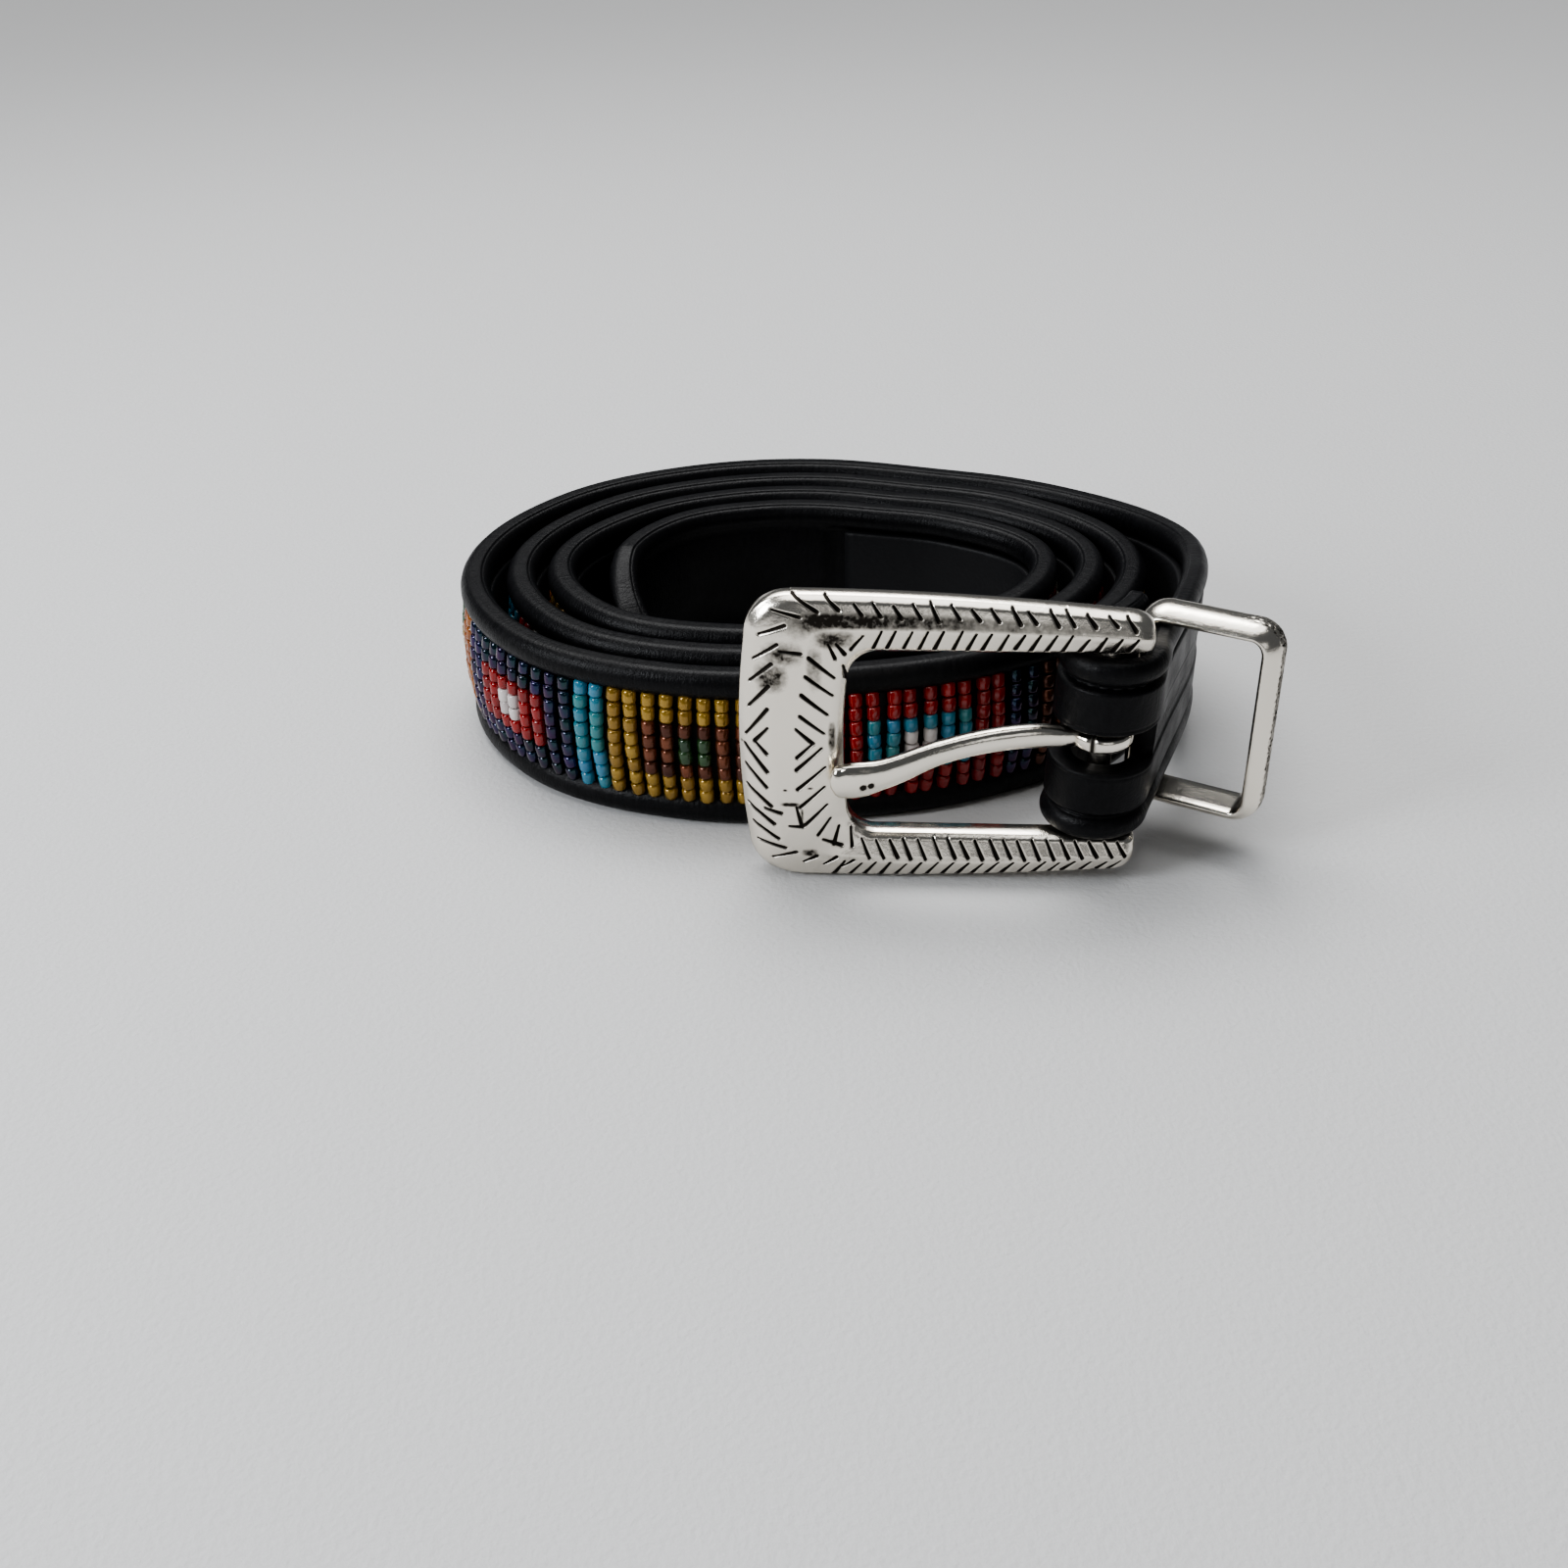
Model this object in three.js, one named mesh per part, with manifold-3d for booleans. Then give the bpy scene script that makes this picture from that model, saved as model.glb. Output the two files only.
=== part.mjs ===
// A narrow beaded leather belt, rolled into an oval coil and standing on its edge.
// The buckle end leaves the coil at the front right, folds round the buckle's bar and
// is stitched back on itself. Millimetres, +Z up, +X to the right, -Y towards the viewer.
import * as THREE from 'three';
import * as BufferGeometryUtils from 'three/addons/utils/BufferGeometryUtils.js';
import Module from 'manifold-3d';

const wasm = await Module();
wasm.setup();

// Strap
const strapWidth = 22;
const rollDiameter = 4.2;
const rollFlat = 1.7;
const rollEase = 0.4;
const webThickness = 1.2;
const liningThickness = 1.3;
const padOuterShare = 0.88;
const padInnerShare = 0.93;
const layerGap = 0.15;

// Bead band
const beadBorder = 3.3;
const beadBandThickness = 1.95;
const beadBandCrown = 0.9;
const beadBandTop = 0.4;
const beadBandInset = 0.95;
const beadStartBearing = 20;

// Coil
const coilHalfLength = 49;
const wrapClearance = 0.3;
const stationAngle = 10;
const strapEndBearing = 1282;
const settleBearing = 40;
const coilTable = [
  // bearing, the first wrap as a share of the half length, then each next wrap's step inward
  // as a share of the pitch at which the wraps would touch
  { bearing: 0, outline: 1.000, second: 1.31, third: 1.10, fourth: 1.29 },
  { bearing: 30, outline: 0.853, second: 1.27, third: 1.15, fourth: 1.31 },
  { bearing: 60, outline: 0.712, second: 1.15, third: 1.10, fourth: 1.08 },
  { bearing: 90, outline: 0.722, second: 1.19, third: 1.12, fourth: 1.12 },
  { bearing: 120, outline: 0.800, second: 1.27, third: 1.15, fourth: 1.19 },
  { bearing: 150, outline: 0.930, second: 1.29, third: 1.25, fourth: 1.27 },
  { bearing: 180, outline: 1.015, second: 1.26, third: 1.12, fourth: 1.69 },
  { bearing: 210, outline: 0.960, second: 1.24, third: 1.19, fourth: 1.42 },
  { bearing: 240, outline: 0.822, second: 1.25, third: 1.23, fourth: 1.15 },
  { bearing: 270, outline: 0.729, second: 1.25, third: 1.08, fourth: 1.04 },
  { bearing: 300, outline: 0.747, second: 1.27, third: 1.08, fourth: 1.04 },
  { bearing: 330, outline: 0.837, second: 1.15, third: 1.15, fourth: 1.06 },
];

// Fold round the bar, lead from the fold to the coil, and the strap's end
const barDiameter = 2.8;
const barSeat = 1.5;
const foldClearance = 0.3;
const foldHeading = 20;
const foldTurnRadius = 5;
const foldRollShare = 0.72;
const foldSpread = 0.08;
const foldLean = 0.045;
const foldSpreadFade = 5.5;
const foldStitchLength = 3;
const foldStitchOffset = 0.5;
const foldStraightShare = 0.62;
const foldSwellShare = 0.42;
const backLegSteps = 6;
const turnSteps = 8;
const leadSteps = 9;
const leadEndBearing = -10;
const leadOpening = 0.5;
const foldInset = 17.8;
const foldStandOff = 9.2;
const slotClearance = 1.45;
const liningGap = 1.5;
const tipLength = 14;
const billetLength = 52;
const holeDiameter = 3.2;
const holePitch = 12.5;
const holeCount = 3;
const holeStart = 18;
const tipShares = [
  // distance from the point, then the half width
  { along: 0, half: 0.34 },
  { along: 0.25, half: 0.62 },
  { along: 0.6, half: 0.86 },
  { along: 1, half: 1 },
];

// Buckle frame: its own axes run from the bar to the far end, up, and out to the viewer
const buckleYaw = 4.4;
const frameReach = 41.8;
const frameTail = 4.8;
const armEndWidth = 4.8;
const armFarWidth = 6.2;
const armSwell = 0.6;
const armEndNip = 0.75;
const windowClearance = 1.3;
const endBarWidth = 11.9;
const endBarBow = 0.9;
const outerCornerRadius = 5.4;
const innerCornerRadius = 3.7;
const frameThickness = 4.1;
const frameBackShare = 0.1;
const frameSection = [
  // share from the outer outline to the inner one, and the height in the frame's thickness
  { across: 0, rise: 0 },
  { across: 0, rise: 0.58 },
  { across: 0.12, rise: 0.84 },
  { across: 0.38, rise: 1 },
  { across: 0.68, rise: 0.98 },
  { across: 0.92, rise: 0.86 },
  { across: 1, rise: 0.68 },
  { across: 1, rise: 0 },
];
const floorClearance = 0.2;

// Tongue
const tongueOverlap = 1.8;
const tongueWidth = 4.4;
const tongueThickness = 2.4;
const tongueRise = 4.3;
const tongueSides = 8;
const tongueDroop = 4.4;
const tongueLoopWall = 2.2;
const tongueLoopHeight = 1.9;
const tongueLoopClearance = 0.3;
const tongueStations = [
  // reach from the bar, rise and sink off the bar's middle, width, depth
  { reach: 0.07, rise: 0.12, sink: -0.04, width: 0.42, depth: 0.75 },
  { reach: 0.14, rise: 0.36, sink: -0.14, width: 0.52, depth: 0.85 },
  { reach: 0.24, rise: 0.6, sink: -0.25, width: 0.68, depth: 0.95 },
  { reach: 0.4, rise: 0.8, sink: -0.22, width: 0.66, depth: 1 },
  { reach: 0.6, rise: 0.94, sink: 0.14, width: 0.66, depth: 1 },
  { reach: 0.8, rise: 1.02, sink: 0.72, width: 0.84, depth: 1 },
  { reach: 0.95, rise: 1.03, sink: 0.96, width: 0.98, depth: 0.9 },
  { reach: 1, rise: 1.02, sink: 1, width: 0.6, depth: 0.65 },
];

// Keeper loop
const keeperBand = 5.6;
const keeperWall = 1.45;
const keeperEdgeWall = 1.85;
const keeperOuterWall = 2.1;
const keeperDepth = 14.1;
const keeperClearance = 0.7;
const keeperRise = 0.35;
const keeperSlack = 0.93;
const keeperCornerRadius = 3.6;
const keeperShoulder = 0.5;
const keeperCrown = 0.5;
const keeperGap = 4.7;
const keeperTurn = 7.5;

const leather = new THREE.MeshStandardMaterial({ color: 0x17171a, roughness: 0.45, metalness: 0 });
const liningLeather = new THREE.MeshStandardMaterial({ color: 0x0f0f11, roughness: 0.6, metalness: 0 });
const beadGlass = new THREE.MeshStandardMaterial({ color: 0xa88a3c, roughness: 0.3, metalness: 0 });
const silver = new THREE.MeshStandardMaterial({ color: 0xd8d4cc, roughness: 0.25, metalness: 1 });

const radians = THREE.MathUtils.degToRad;
const rollRadius = rollDiameter / 2;
const barRadius = barDiameter / 2;
const barPull = foldTurnRadius - rollRadius * foldRollShare - foldClearance - barRadius;
const windowHeight = strapWidth + 2 * windowClearance;
const windowEnd = frameReach - endBarWidth;
const frameFarHeight = windowHeight + 2 * armFarWidth;
const barHeight = frameFarHeight / 2 + floorClearance;
const foldLift = barHeight - strapWidth / 2;
const keeperFromBar = frameTail + keeperGap + keeperBand / 2;
const foldReturn = keeperFromBar - barPull + keeperBand / 2 + foldStitchLength;
const slotHeight = tongueLoopHeight + 2 * slotClearance;
const tongueReach = windowEnd + tongueOverlap;
const tongueLoopInner = barRadius + tongueLoopClearance;
const tongueLoopOuter = tongueLoopInner + tongueLoopWall;

// Heights through the strap, counted outward from the middle of its rolled edges
const webOuter = webThickness / 2;
const webInner = -webThickness / 2;
const beadInner = webOuter + layerGap;
const beadOuter = beadInner + beadBandThickness;
const wrapPitch = beadOuter + rollRadius + wrapClearance;
const foldAcross = coilHalfLength - foldInset;
const coilFront = coilTable.find((row) => row.bearing === 270).outline * coilHalfLength;
const foldForward = coilFront + beadOuter + foldStandOff;

// Grid of closed sections to a solid: rows of equal rings, ends capped by fans.
function loft(rings, closedPath = false) {
  const count = rings[0].length;
  const positions = rings.flat().flatMap((point) => [point.x, point.y, point.z]);
  const indices = [];
  const rows = closedPath ? rings.length : rings.length - 1;
  for (let row = 0; row < rows; row += 1) {
    const next = ((row + 1) % rings.length) * count;
    for (let column = 0; column < count; column += 1) {
      const a = row * count + column;
      const b = row * count + ((column + 1) % count);
      const c = next + column;
      const d = next + ((column + 1) % count);
      indices.push(a, b, d, a, d, c);
    }
  }
  if (!closedPath) {
    const last = (rings.length - 1) * count;
    const ends = THREE.ShapeUtils.triangulateShape(flatten(rings[0]), []);
    for (const [a, b, c] of ends) {
      indices.push(a, c, b);
      indices.push(last + a, last + b, last + c);
    }
  }
  const geometry = new THREE.BufferGeometry();
  geometry.setAttribute('position', new THREE.Float32BufferAttribute(positions, 3));
  geometry.setIndex(indices);
  return outward(geometry);
}

// Ring of points on its own plane, for cutting its cap into triangles.
function flatten(ring) {
  const centre = ring.reduce((sum, point) => sum.add(point), new THREE.Vector3()).divideScalar(ring.length);
  const across = new THREE.Vector3().subVectors(ring[0], centre).normalize();
  const normal = new THREE.Vector3();
  ring.forEach((point, index) => {
    const here = new THREE.Vector3().subVectors(point, centre);
    const next = new THREE.Vector3().subVectors(ring[(index + 1) % ring.length], centre);
    normal.add(here.cross(next));
  });
  const up = new THREE.Vector3().crossVectors(normal.normalize(), across);
  return ring.map((point) => {
    const local = new THREE.Vector3().subVectors(point, centre);
    return new THREE.Vector2(local.dot(across), local.dot(up));
  });
}

// Turns a closed mesh right side out when its signed volume is negative.
function outward(geometry) {
  const index = geometry.getIndex();
  const position = geometry.getAttribute('position');
  const corners = [new THREE.Vector3(), new THREE.Vector3(), new THREE.Vector3()];
  let volume = 0;
  for (let start = 0; start < index.count; start += 3) {
    corners.forEach((corner, offset) => corner.fromBufferAttribute(position, index.getX(start + offset)));
    volume += corners[0].dot(corners[1].clone().cross(corners[2]));
  }
  if (volume < 0) {
    for (let start = 0; start < index.count; start += 3) {
      const second = index.getX(start + 1);
      index.setX(start + 1, index.getX(start + 2));
      index.setX(start + 2, second);
    }
  }
  return geometry;
}

function toManifold(geometry) {
  const bare = geometry.clone();
  bare.deleteAttribute('normal');
  bare.deleteAttribute('uv');
  const merged = BufferGeometryUtils.mergeVertices(bare, 1e-4);
  return new wasm.Manifold(
    new wasm.Mesh({
      numProp: 3,
      vertProperties: new Float32Array(merged.getAttribute('position').array),
      triVerts: new Uint32Array(merged.getIndex().array),
    }),
  );
}

function fromManifold(solid) {
  const mesh = solid.getMesh();
  const geometry = new THREE.BufferGeometry();
  geometry.setAttribute('position', new THREE.Float32BufferAttribute(mesh.vertProperties, 3));
  geometry.setIndex(Array.from(mesh.triVerts));
  return geometry;
}

// Radii of the coil's centre line at every row of the table, wrap after wrap.
const coilRadii = [0, 1, 2, 3].flatMap((turns) =>
  coilTable.map((row) => {
    const steps = [row.second, row.third, row.fourth].slice(0, turns);
    return row.outline * coilHalfLength - wrapPitch * steps.reduce((sum, step) => sum + step, 0);
  }),
);

// Radius at a running bearing: a Catmull-Rom curve through the table's radii, which opens a
// little before the first row, where the lead comes in.
function coilRadius(bearing) {
  const place = (bearing / 360) * coilTable.length;
  const low = Math.min(Math.max(Math.floor(place), 0), coilRadii.length - 2);
  const opened = THREE.MathUtils.lerp(coilRadii[0], coilRadii[1], -leadOpening);
  const at = (index) => (index < 0 ? opened : coilRadii[Math.min(index, coilRadii.length - 1)]);
  const t = place - low;
  const [a, b, c, d] = [at(low - 1), at(low), at(low + 1), at(low + 2)];
  return b + 0.5 * t * (c - a + t * (2 * a - 5 * b + 4 * c - d + t * (3 * (b - c) + d - a)));
}

function coilPoint(bearing) {
  const radius = coilRadius(bearing);
  const angle = radians(bearing);
  return new THREE.Vector2(radius * Math.cos(angle), radius * Math.sin(angle));
}

// The strap's way in plan: back leg, half turn round the bar, lead to the coil, the wraps.
// The buckle pulls its bar forward, off the middle of the turn.
const foldPlace = new THREE.Vector2(foldAcross, -foldForward);
const along = new THREE.Vector2(Math.sin(radians(foldHeading)), Math.cos(radians(foldHeading)));
const aside = new THREE.Vector2(along.y, -along.x);

function fromFold(alongBy, asideBy) {
  return foldPlace.clone().addScaledVector(along, alongBy).addScaledVector(aside, asideBy);
}

const barPlace = fromFold(-barPull, 0);

function bezier(points, count) {
  return new THREE.CubicBezierCurve(...points).getPoints(count);
}

const backLeg = bezier(
  [
    fromFold(foldReturn, foldStitchOffset),
    fromFold(foldReturn * foldStraightShare, 0),
    fromFold(foldReturn * foldSwellShare, -foldTurnRadius),
    fromFold(0, -foldTurnRadius),
  ],
  backLegSteps,
);
const halfTurn = [];
for (let step = 1; step < turnSteps; step += 1) {
  const angle = (Math.PI * step) / turnSteps;
  halfTurn.push(fromFold(-foldTurnRadius * Math.sin(angle), -foldTurnRadius * Math.cos(angle)));
}
const leadEnd = coilPoint(leadEndBearing);
const leadEndHeading = coilPoint(leadEndBearing + 1).sub(coilPoint(leadEndBearing - 1)).normalize();
const leadStart = fromFold(0, foldTurnRadius);
const leadReach = leadStart.distanceTo(leadEnd) / 3;
const lead = bezier(
  [
    leadStart,
    leadStart.clone().addScaledVector(along, leadReach),
    leadEnd.clone().addScaledVector(leadEndHeading, -leadReach),
    leadEnd,
  ],
  leadSteps,
);

// Stations carry their place, outward normal, lift off the surface and running bearing.
const stations = [...backLeg, ...halfTurn, ...lead].map((place) => ({ place, bearing: leadEndBearing }));
const leadStartIndex = backLeg.length + halfTurn.length;
for (let bearing = 0; bearing < strapEndBearing; bearing += stationAngle) {
  stations.push({ place: coilPoint(bearing), bearing });
}
stations.push({ place: coilPoint(strapEndBearing), bearing: strapEndBearing });
let travelled = 0;
stations.forEach((station, index) => {
  const before = stations[Math.max(index - 1, 0)].place;
  const after = stations[Math.min(index + 1, stations.length - 1)].place;
  const heading = after.clone().sub(before).normalize();
  station.normal = new THREE.Vector2(heading.y, -heading.x);
  travelled += index > 0 ? station.place.distanceTo(before) : 0;
  station.travelled = travelled;
});
const beltLength = travelled;
const turnTravelled = stations[leadStartIndex].travelled;
const turnStartTravelled = stations[backLeg.length - 1].travelled;
const settleTravelled = stations.find((station) => station.bearing >= settleBearing).travelled;

// The strap end is carried at the bar's height and settles to the surface past the right side.
// Round the bar its rolled edges are pressed thinner, and it spreads a little and leans aside.
stations.forEach((station) => {
  const share = THREE.MathUtils.smoothstep(station.travelled, turnTravelled, settleTravelled);
  station.lift = foldLift * (1 - share);
  station.rollRadius = rollRadius * THREE.MathUtils.lerp(foldRollShare, 1, share);
  const past = Math.max(station.travelled - turnTravelled, turnStartTravelled - station.travelled);
  station.folded = 1 - THREE.MathUtils.smoothstep(past, 0, foldSpreadFade);
});

function placed(station, out, up) {
  const lean = foldLean * station.folded * up;
  return new THREE.Vector3(
    station.place.x + station.normal.x * out + aside.x * lean,
    station.place.y + station.normal.y * out + aside.y * lean,
    station.lift + strapWidth / 2 + up * (1 + foldSpread * station.folded),
  );
}

// Leather strap: two rolled edges joined by a web that spans the two given heights.
function strapSection(station, outer, inner, half) {
  const radius = station.rollRadius;
  const flatAngle = Math.acos(rollFlat / rollDiameter);
  const rollHeight = half * (strapWidth / 2 - radius * Math.sin(flatAngle));
  const outerAngle = Math.asin(outer / radius) - Math.PI / 2;
  const innerAngle = Math.PI * 1.5 + Math.asin(inner / radius);
  const angles = [
    outerAngle,
    outerAngle * rollEase,
    flatAngle / 3,
    flatAngle,
    Math.PI - flatAngle,
    Math.PI - flatAngle / 3,
    THREE.MathUtils.lerp(Math.PI, innerAngle, rollEase),
    innerAngle,
  ];
  const upper = angles.map((angle) => [radius * Math.cos(angle), rollHeight + radius * Math.sin(angle)]);
  const lower = upper.map(([out, up]) => [out, -up]).reverse();
  return [...upper, ...lower].map(([out, up]) => placed(station, out, up));
}

function tipShare(distance) {
  const place = distance / tipLength;
  const above = tipShares.findIndex((row) => row.along >= place);
  if (above < 0) return 1;
  if (above === 0) return tipShares[0].half;
  const low = tipShares[above - 1];
  const high = tipShares[above];
  return THREE.MathUtils.mapLinear(place, low.along, high.along, low.half, high.half);
}

// The web is thick on its outer side where no beads cover it and on its inner side where no
// lining does: round the bar, at the stitched end and along the plain end.
const beadStart = stations.find((station) => station.bearing >= beadStartBearing).travelled;
const liningStart = turnTravelled + foldReturn + liningGap;
const billetStart = beltLength - billetLength;
const strapRings = stations.map((station) => {
  const beaded = station.travelled >= beadStart && station.travelled < billetStart;
  const lined = station.travelled > liningStart && station.travelled < billetStart;
  return strapSection(
    station,
    beaded ? webOuter : station.rollRadius * padOuterShare,
    lined ? webInner : -station.rollRadius * padInnerShare,
    tipShare(beltLength - station.travelled),
  );
});
let strapSolid = toManifold(loft(strapRings));

// Slot in the fold for the tongue's loop, and the holes near the strap's point.
const slotDepth = 2 * (foldTurnRadius + rollRadius);
const slot = new THREE.BoxGeometry(slotDepth + rollDiameter, slotDepth, slotHeight);
slot.translate(0, tongueLoopOuter + slotClearance - slotDepth / 2, 0);
slot.rotateZ(radians(-foldHeading));
slot.translate(barPlace.x, barPlace.y, barHeight);
strapSolid = strapSolid.subtract(toManifold(slot));
for (let hole = 0; hole < holeCount; hole += 1) {
  const distance = beltLength - holeStart - hole * holePitch;
  const station = stations.find((candidate) => candidate.travelled >= distance);
  const punch = new THREE.CylinderGeometry(holeDiameter / 2, holeDiameter / 2, 2 * rollDiameter, 10);
  punch.rotateZ(Math.PI / 2);
  punch.rotateZ(Math.atan2(station.normal.y, station.normal.x));
  punch.translate(station.place.x, station.place.y, strapWidth / 2);
  strapSolid = strapSolid.subtract(toManifold(punch));
}

// Lining: a flat band inside the rolled edges, from the fold's stitched end to the plain end.
const liningStations = stations.filter(
  (station) => station.travelled > liningStart && station.travelled < billetStart,
);
const liningHalf = strapWidth / 2 - rollDiameter;
const liningOuter = webInner - layerGap;
const liningRings = liningStations.map((station) =>
  [
    [liningOuter, -liningHalf],
    [liningOuter, liningHalf],
    [liningOuter - liningThickness, liningHalf],
    [liningOuter - liningThickness, -liningHalf],
  ].map(([out, up]) => placed(station, out, up)),
);

// Bead band: the woven panel of bead strings, crowned across its width.
const beadEdge = beadOuter - beadBandCrown;
const beadHalf = strapWidth / 2 - beadBorder;
const beadStations = liningStations.filter((station) => station.travelled >= beadStart);
const beadRings = beadStations.map((station) =>
  [
    [beadInner, -beadHalf + beadBandInset],
    [beadEdge, -beadHalf],
    [beadOuter, -beadHalf * beadBandTop],
    [beadOuter, beadHalf * beadBandTop],
    [beadEdge, beadHalf],
    [beadInner, beadHalf - beadBandInset],
  ].map(([out, up]) => placed(station, out, up)),
);

// Buckle frame: a domed section carried between an outer and an inner outline.
function frameEdges() {
  const pairs = [];
  const innerTop = windowHeight / 2;
  const outerTop = (reach) => {
    const share = reach / frameReach;
    const swell = 4 * armSwell * share * (1 - share);
    return innerTop + THREE.MathUtils.lerp(armEndWidth, armFarWidth, share) + swell;
  };
  const armSteps = 6;
  const cornerSteps = 5;
  const endSteps = 3;
  const armEnd = windowEnd - innerCornerRadius;
  for (let step = 0; step <= armSteps; step += 1) {
    const reach = THREE.MathUtils.lerp(-frameTail, armEnd, step / armSteps);
    const outerReach = THREE.MathUtils.lerp(-frameTail, frameReach - outerCornerRadius, step / armSteps);
    const nip = step === 0 ? armEndNip : 1;
    pairs.push({
      outer: [outerReach, THREE.MathUtils.lerp(innerTop, outerTop(outerReach), nip)],
      inner: [reach, innerTop],
    });
  }
  for (let step = 1; step <= cornerSteps; step += 1) {
    const angle = ((Math.PI / 2) * step) / cornerSteps;
    pairs.push({
      outer: [
        frameReach - outerCornerRadius + outerCornerRadius * Math.sin(angle),
        outerTop(frameReach) - outerCornerRadius + outerCornerRadius * Math.cos(angle),
      ],
      inner: [
        armEnd + innerCornerRadius * Math.sin(angle),
        innerTop - innerCornerRadius + innerCornerRadius * Math.cos(angle),
      ],
    });
  }
  const outerStart = outerTop(frameReach) - outerCornerRadius;
  const innerStart = innerTop - innerCornerRadius;
  for (let step = 1; step <= endSteps; step += 1) {
    const share = 1 - step / endSteps;
    const bow = endBarBow * (1 - share * share);
    pairs.push({
      outer: [frameReach + bow, outerStart * share],
      inner: [windowEnd + bow * 0.5, innerStart * share],
    });
  }
  const mirrored = pairs
    .slice(0, -1)
    .reverse()
    .map(({ outer, inner }) => ({ outer: [outer[0], -outer[1]], inner: [inner[0], -inner[1]] }));
  return [...pairs, ...mirrored];
}

const frameRings = frameEdges().map(({ outer, inner }) =>
  frameSection.map(({ across, rise }) => {
    const reach = THREE.MathUtils.lerp(outer[0], inner[0], across);
    const up = THREE.MathUtils.lerp(outer[1], inner[1], across);
    return new THREE.Vector3(-reach, -frameThickness * (rise - frameBackShare), up);
  }),
);
const frameBody = toManifold(loft(frameRings));
const bar = new THREE.CylinderGeometry(barRadius, barRadius, windowHeight + 2 * barSeat, 14);
bar.rotateX(Math.PI / 2);
const frameSolid = frameBody.add(toManifold(bar));

// Tongue: a loop round the bar, a slim neck through the slot, and a domed blade to the far bar.
function tongueSolidGeometry() {
  const loopHalf = tongueLoopHeight / 2;
  const loop = new THREE.LatheGeometry(
    [
      new THREE.Vector2(tongueLoopInner, -loopHalf),
      new THREE.Vector2(tongueLoopOuter, -loopHalf),
      new THREE.Vector2(tongueLoopOuter, loopHalf),
      new THREE.Vector2(tongueLoopInner, loopHalf),
      new THREE.Vector2(tongueLoopInner, -loopHalf),
    ],
    16,
  );
  loop.rotateX(Math.PI / 2);
  const spread = 1 / Math.cos(Math.PI / tongueSides);
  const rings = tongueStations.map((station) => {
    const half = (tongueWidth * station.width * spread) / 2;
    const depth = (tongueThickness * station.depth * spread) / 2;
    const ring = [];
    for (let side = 0; side < tongueSides; side += 1) {
      const angle = ((side + 0.5) * 2 * Math.PI) / tongueSides;
      ring.push(
        new THREE.Vector3(
          -station.reach * tongueReach,
          -station.rise * tongueRise - depth * Math.sin(angle),
          -station.sink * tongueDroop + half * Math.cos(angle),
        ),
      );
    }
    return ring;
  });
  return fromManifold(toManifold(loop).add(toManifold(loft(rings))));
}

// Keeper: a silver band bent to a closed ring, its outer side domed. It is thickest on the side
// away from the coil and thinnest between the strap's two layers.
const keeperHalfDepth = (keeperWall + keeperDepth + keeperOuterWall) / 2;

function keeperGeometry() {
  const halfHeight = (strapWidth + keeperRise + keeperSlack) / 2 + keeperEdgeWall;
  const rings = [];
  const cornerSteps = 4;
  const corners = [
    [1, -1],
    [1, 1],
    [-1, 1],
    [-1, -1],
  ];
  corners.forEach(([side, up], corner) => {
    for (let step = 0; step <= cornerSteps; step += 1) {
      const angle = -Math.PI / 2 + (corner + step / cornerSteps) * (Math.PI / 2);
      const out = new THREE.Vector2(Math.cos(angle), Math.sin(angle));
      const centre = new THREE.Vector2(
        side * (keeperHalfDepth - keeperCornerRadius),
        up * (halfHeight - keeperCornerRadius),
      );
      const outer = centre.clone().addScaledVector(out, keeperCornerRadius);
      const sideWall = side > 0 ? keeperOuterWall : keeperWall;
      const inner = new THREE.Vector2(
        outer.x - out.x * sideWall,
        outer.y - out.y * keeperEdgeWall,
      );
      const shoulder = outer.clone().lerp(inner, keeperShoulder);
      rings.push([
        new THREE.Vector3(inner.x, -keeperBand / 2, inner.y),
        new THREE.Vector3(inner.x, keeperBand / 2, inner.y),
        new THREE.Vector3(shoulder.x, keeperBand / 2, shoulder.y),
        new THREE.Vector3(outer.x, (keeperBand * keeperCrown) / 2, outer.y),
        new THREE.Vector3(outer.x, -(keeperBand * keeperCrown) / 2, outer.y),
        new THREE.Vector3(shoulder.x, -keeperBand / 2, shoulder.y),
      ]);
    }
  });
  return loft(rings, true);
}

function piece(name, geometry, material) {
  const flat = geometry.toNonIndexed();
  flat.computeVertexNormals();
  const mesh = new THREE.Mesh(flat, material);
  mesh.name = name;
  return mesh;
}

const belt = new THREE.Group();
belt.add(piece('strap_leather', fromManifold(strapSolid), leather));
belt.add(piece('strap_lining', loft(liningRings), liningLeather));
belt.add(piece('bead_band', loft(beadRings), beadGlass));

const buckle = new THREE.Group();
buckle.add(piece('buckle_frame', fromManifold(frameSolid), silver));
buckle.add(piece('buckle_tongue', tongueSolidGeometry(), silver));
buckle.rotation.z = radians(-buckleYaw);
buckle.position.set(barPlace.x, barPlace.y, barHeight);
belt.add(buckle);

const keeperTravelled = turnTravelled + keeperFromBar - barPull;
const keeperNext = stations.find((station) => station.travelled >= keeperTravelled);
const keeperBefore = stations[stations.indexOf(keeperNext) - 1];
const keeperShare = THREE.MathUtils.inverseLerp(
  keeperBefore.travelled,
  keeperNext.travelled,
  keeperTravelled,
);
const keeperStation = {
  ...keeperNext,
  place: keeperBefore.place.clone().lerp(keeperNext.place, keeperShare),
  lift: THREE.MathUtils.lerp(keeperBefore.lift, keeperNext.lift, keeperShare),
};
const keeper = piece('keeper_loop', keeperGeometry(), silver);
const keeperOut = keeperHalfDepth - keeperWall - keeperStation.rollRadius - keeperClearance;
const keeperAngle = Math.atan2(keeperStation.normal.y, keeperStation.normal.x) - radians(keeperTurn);
keeper.rotation.z = keeperAngle;
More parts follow.
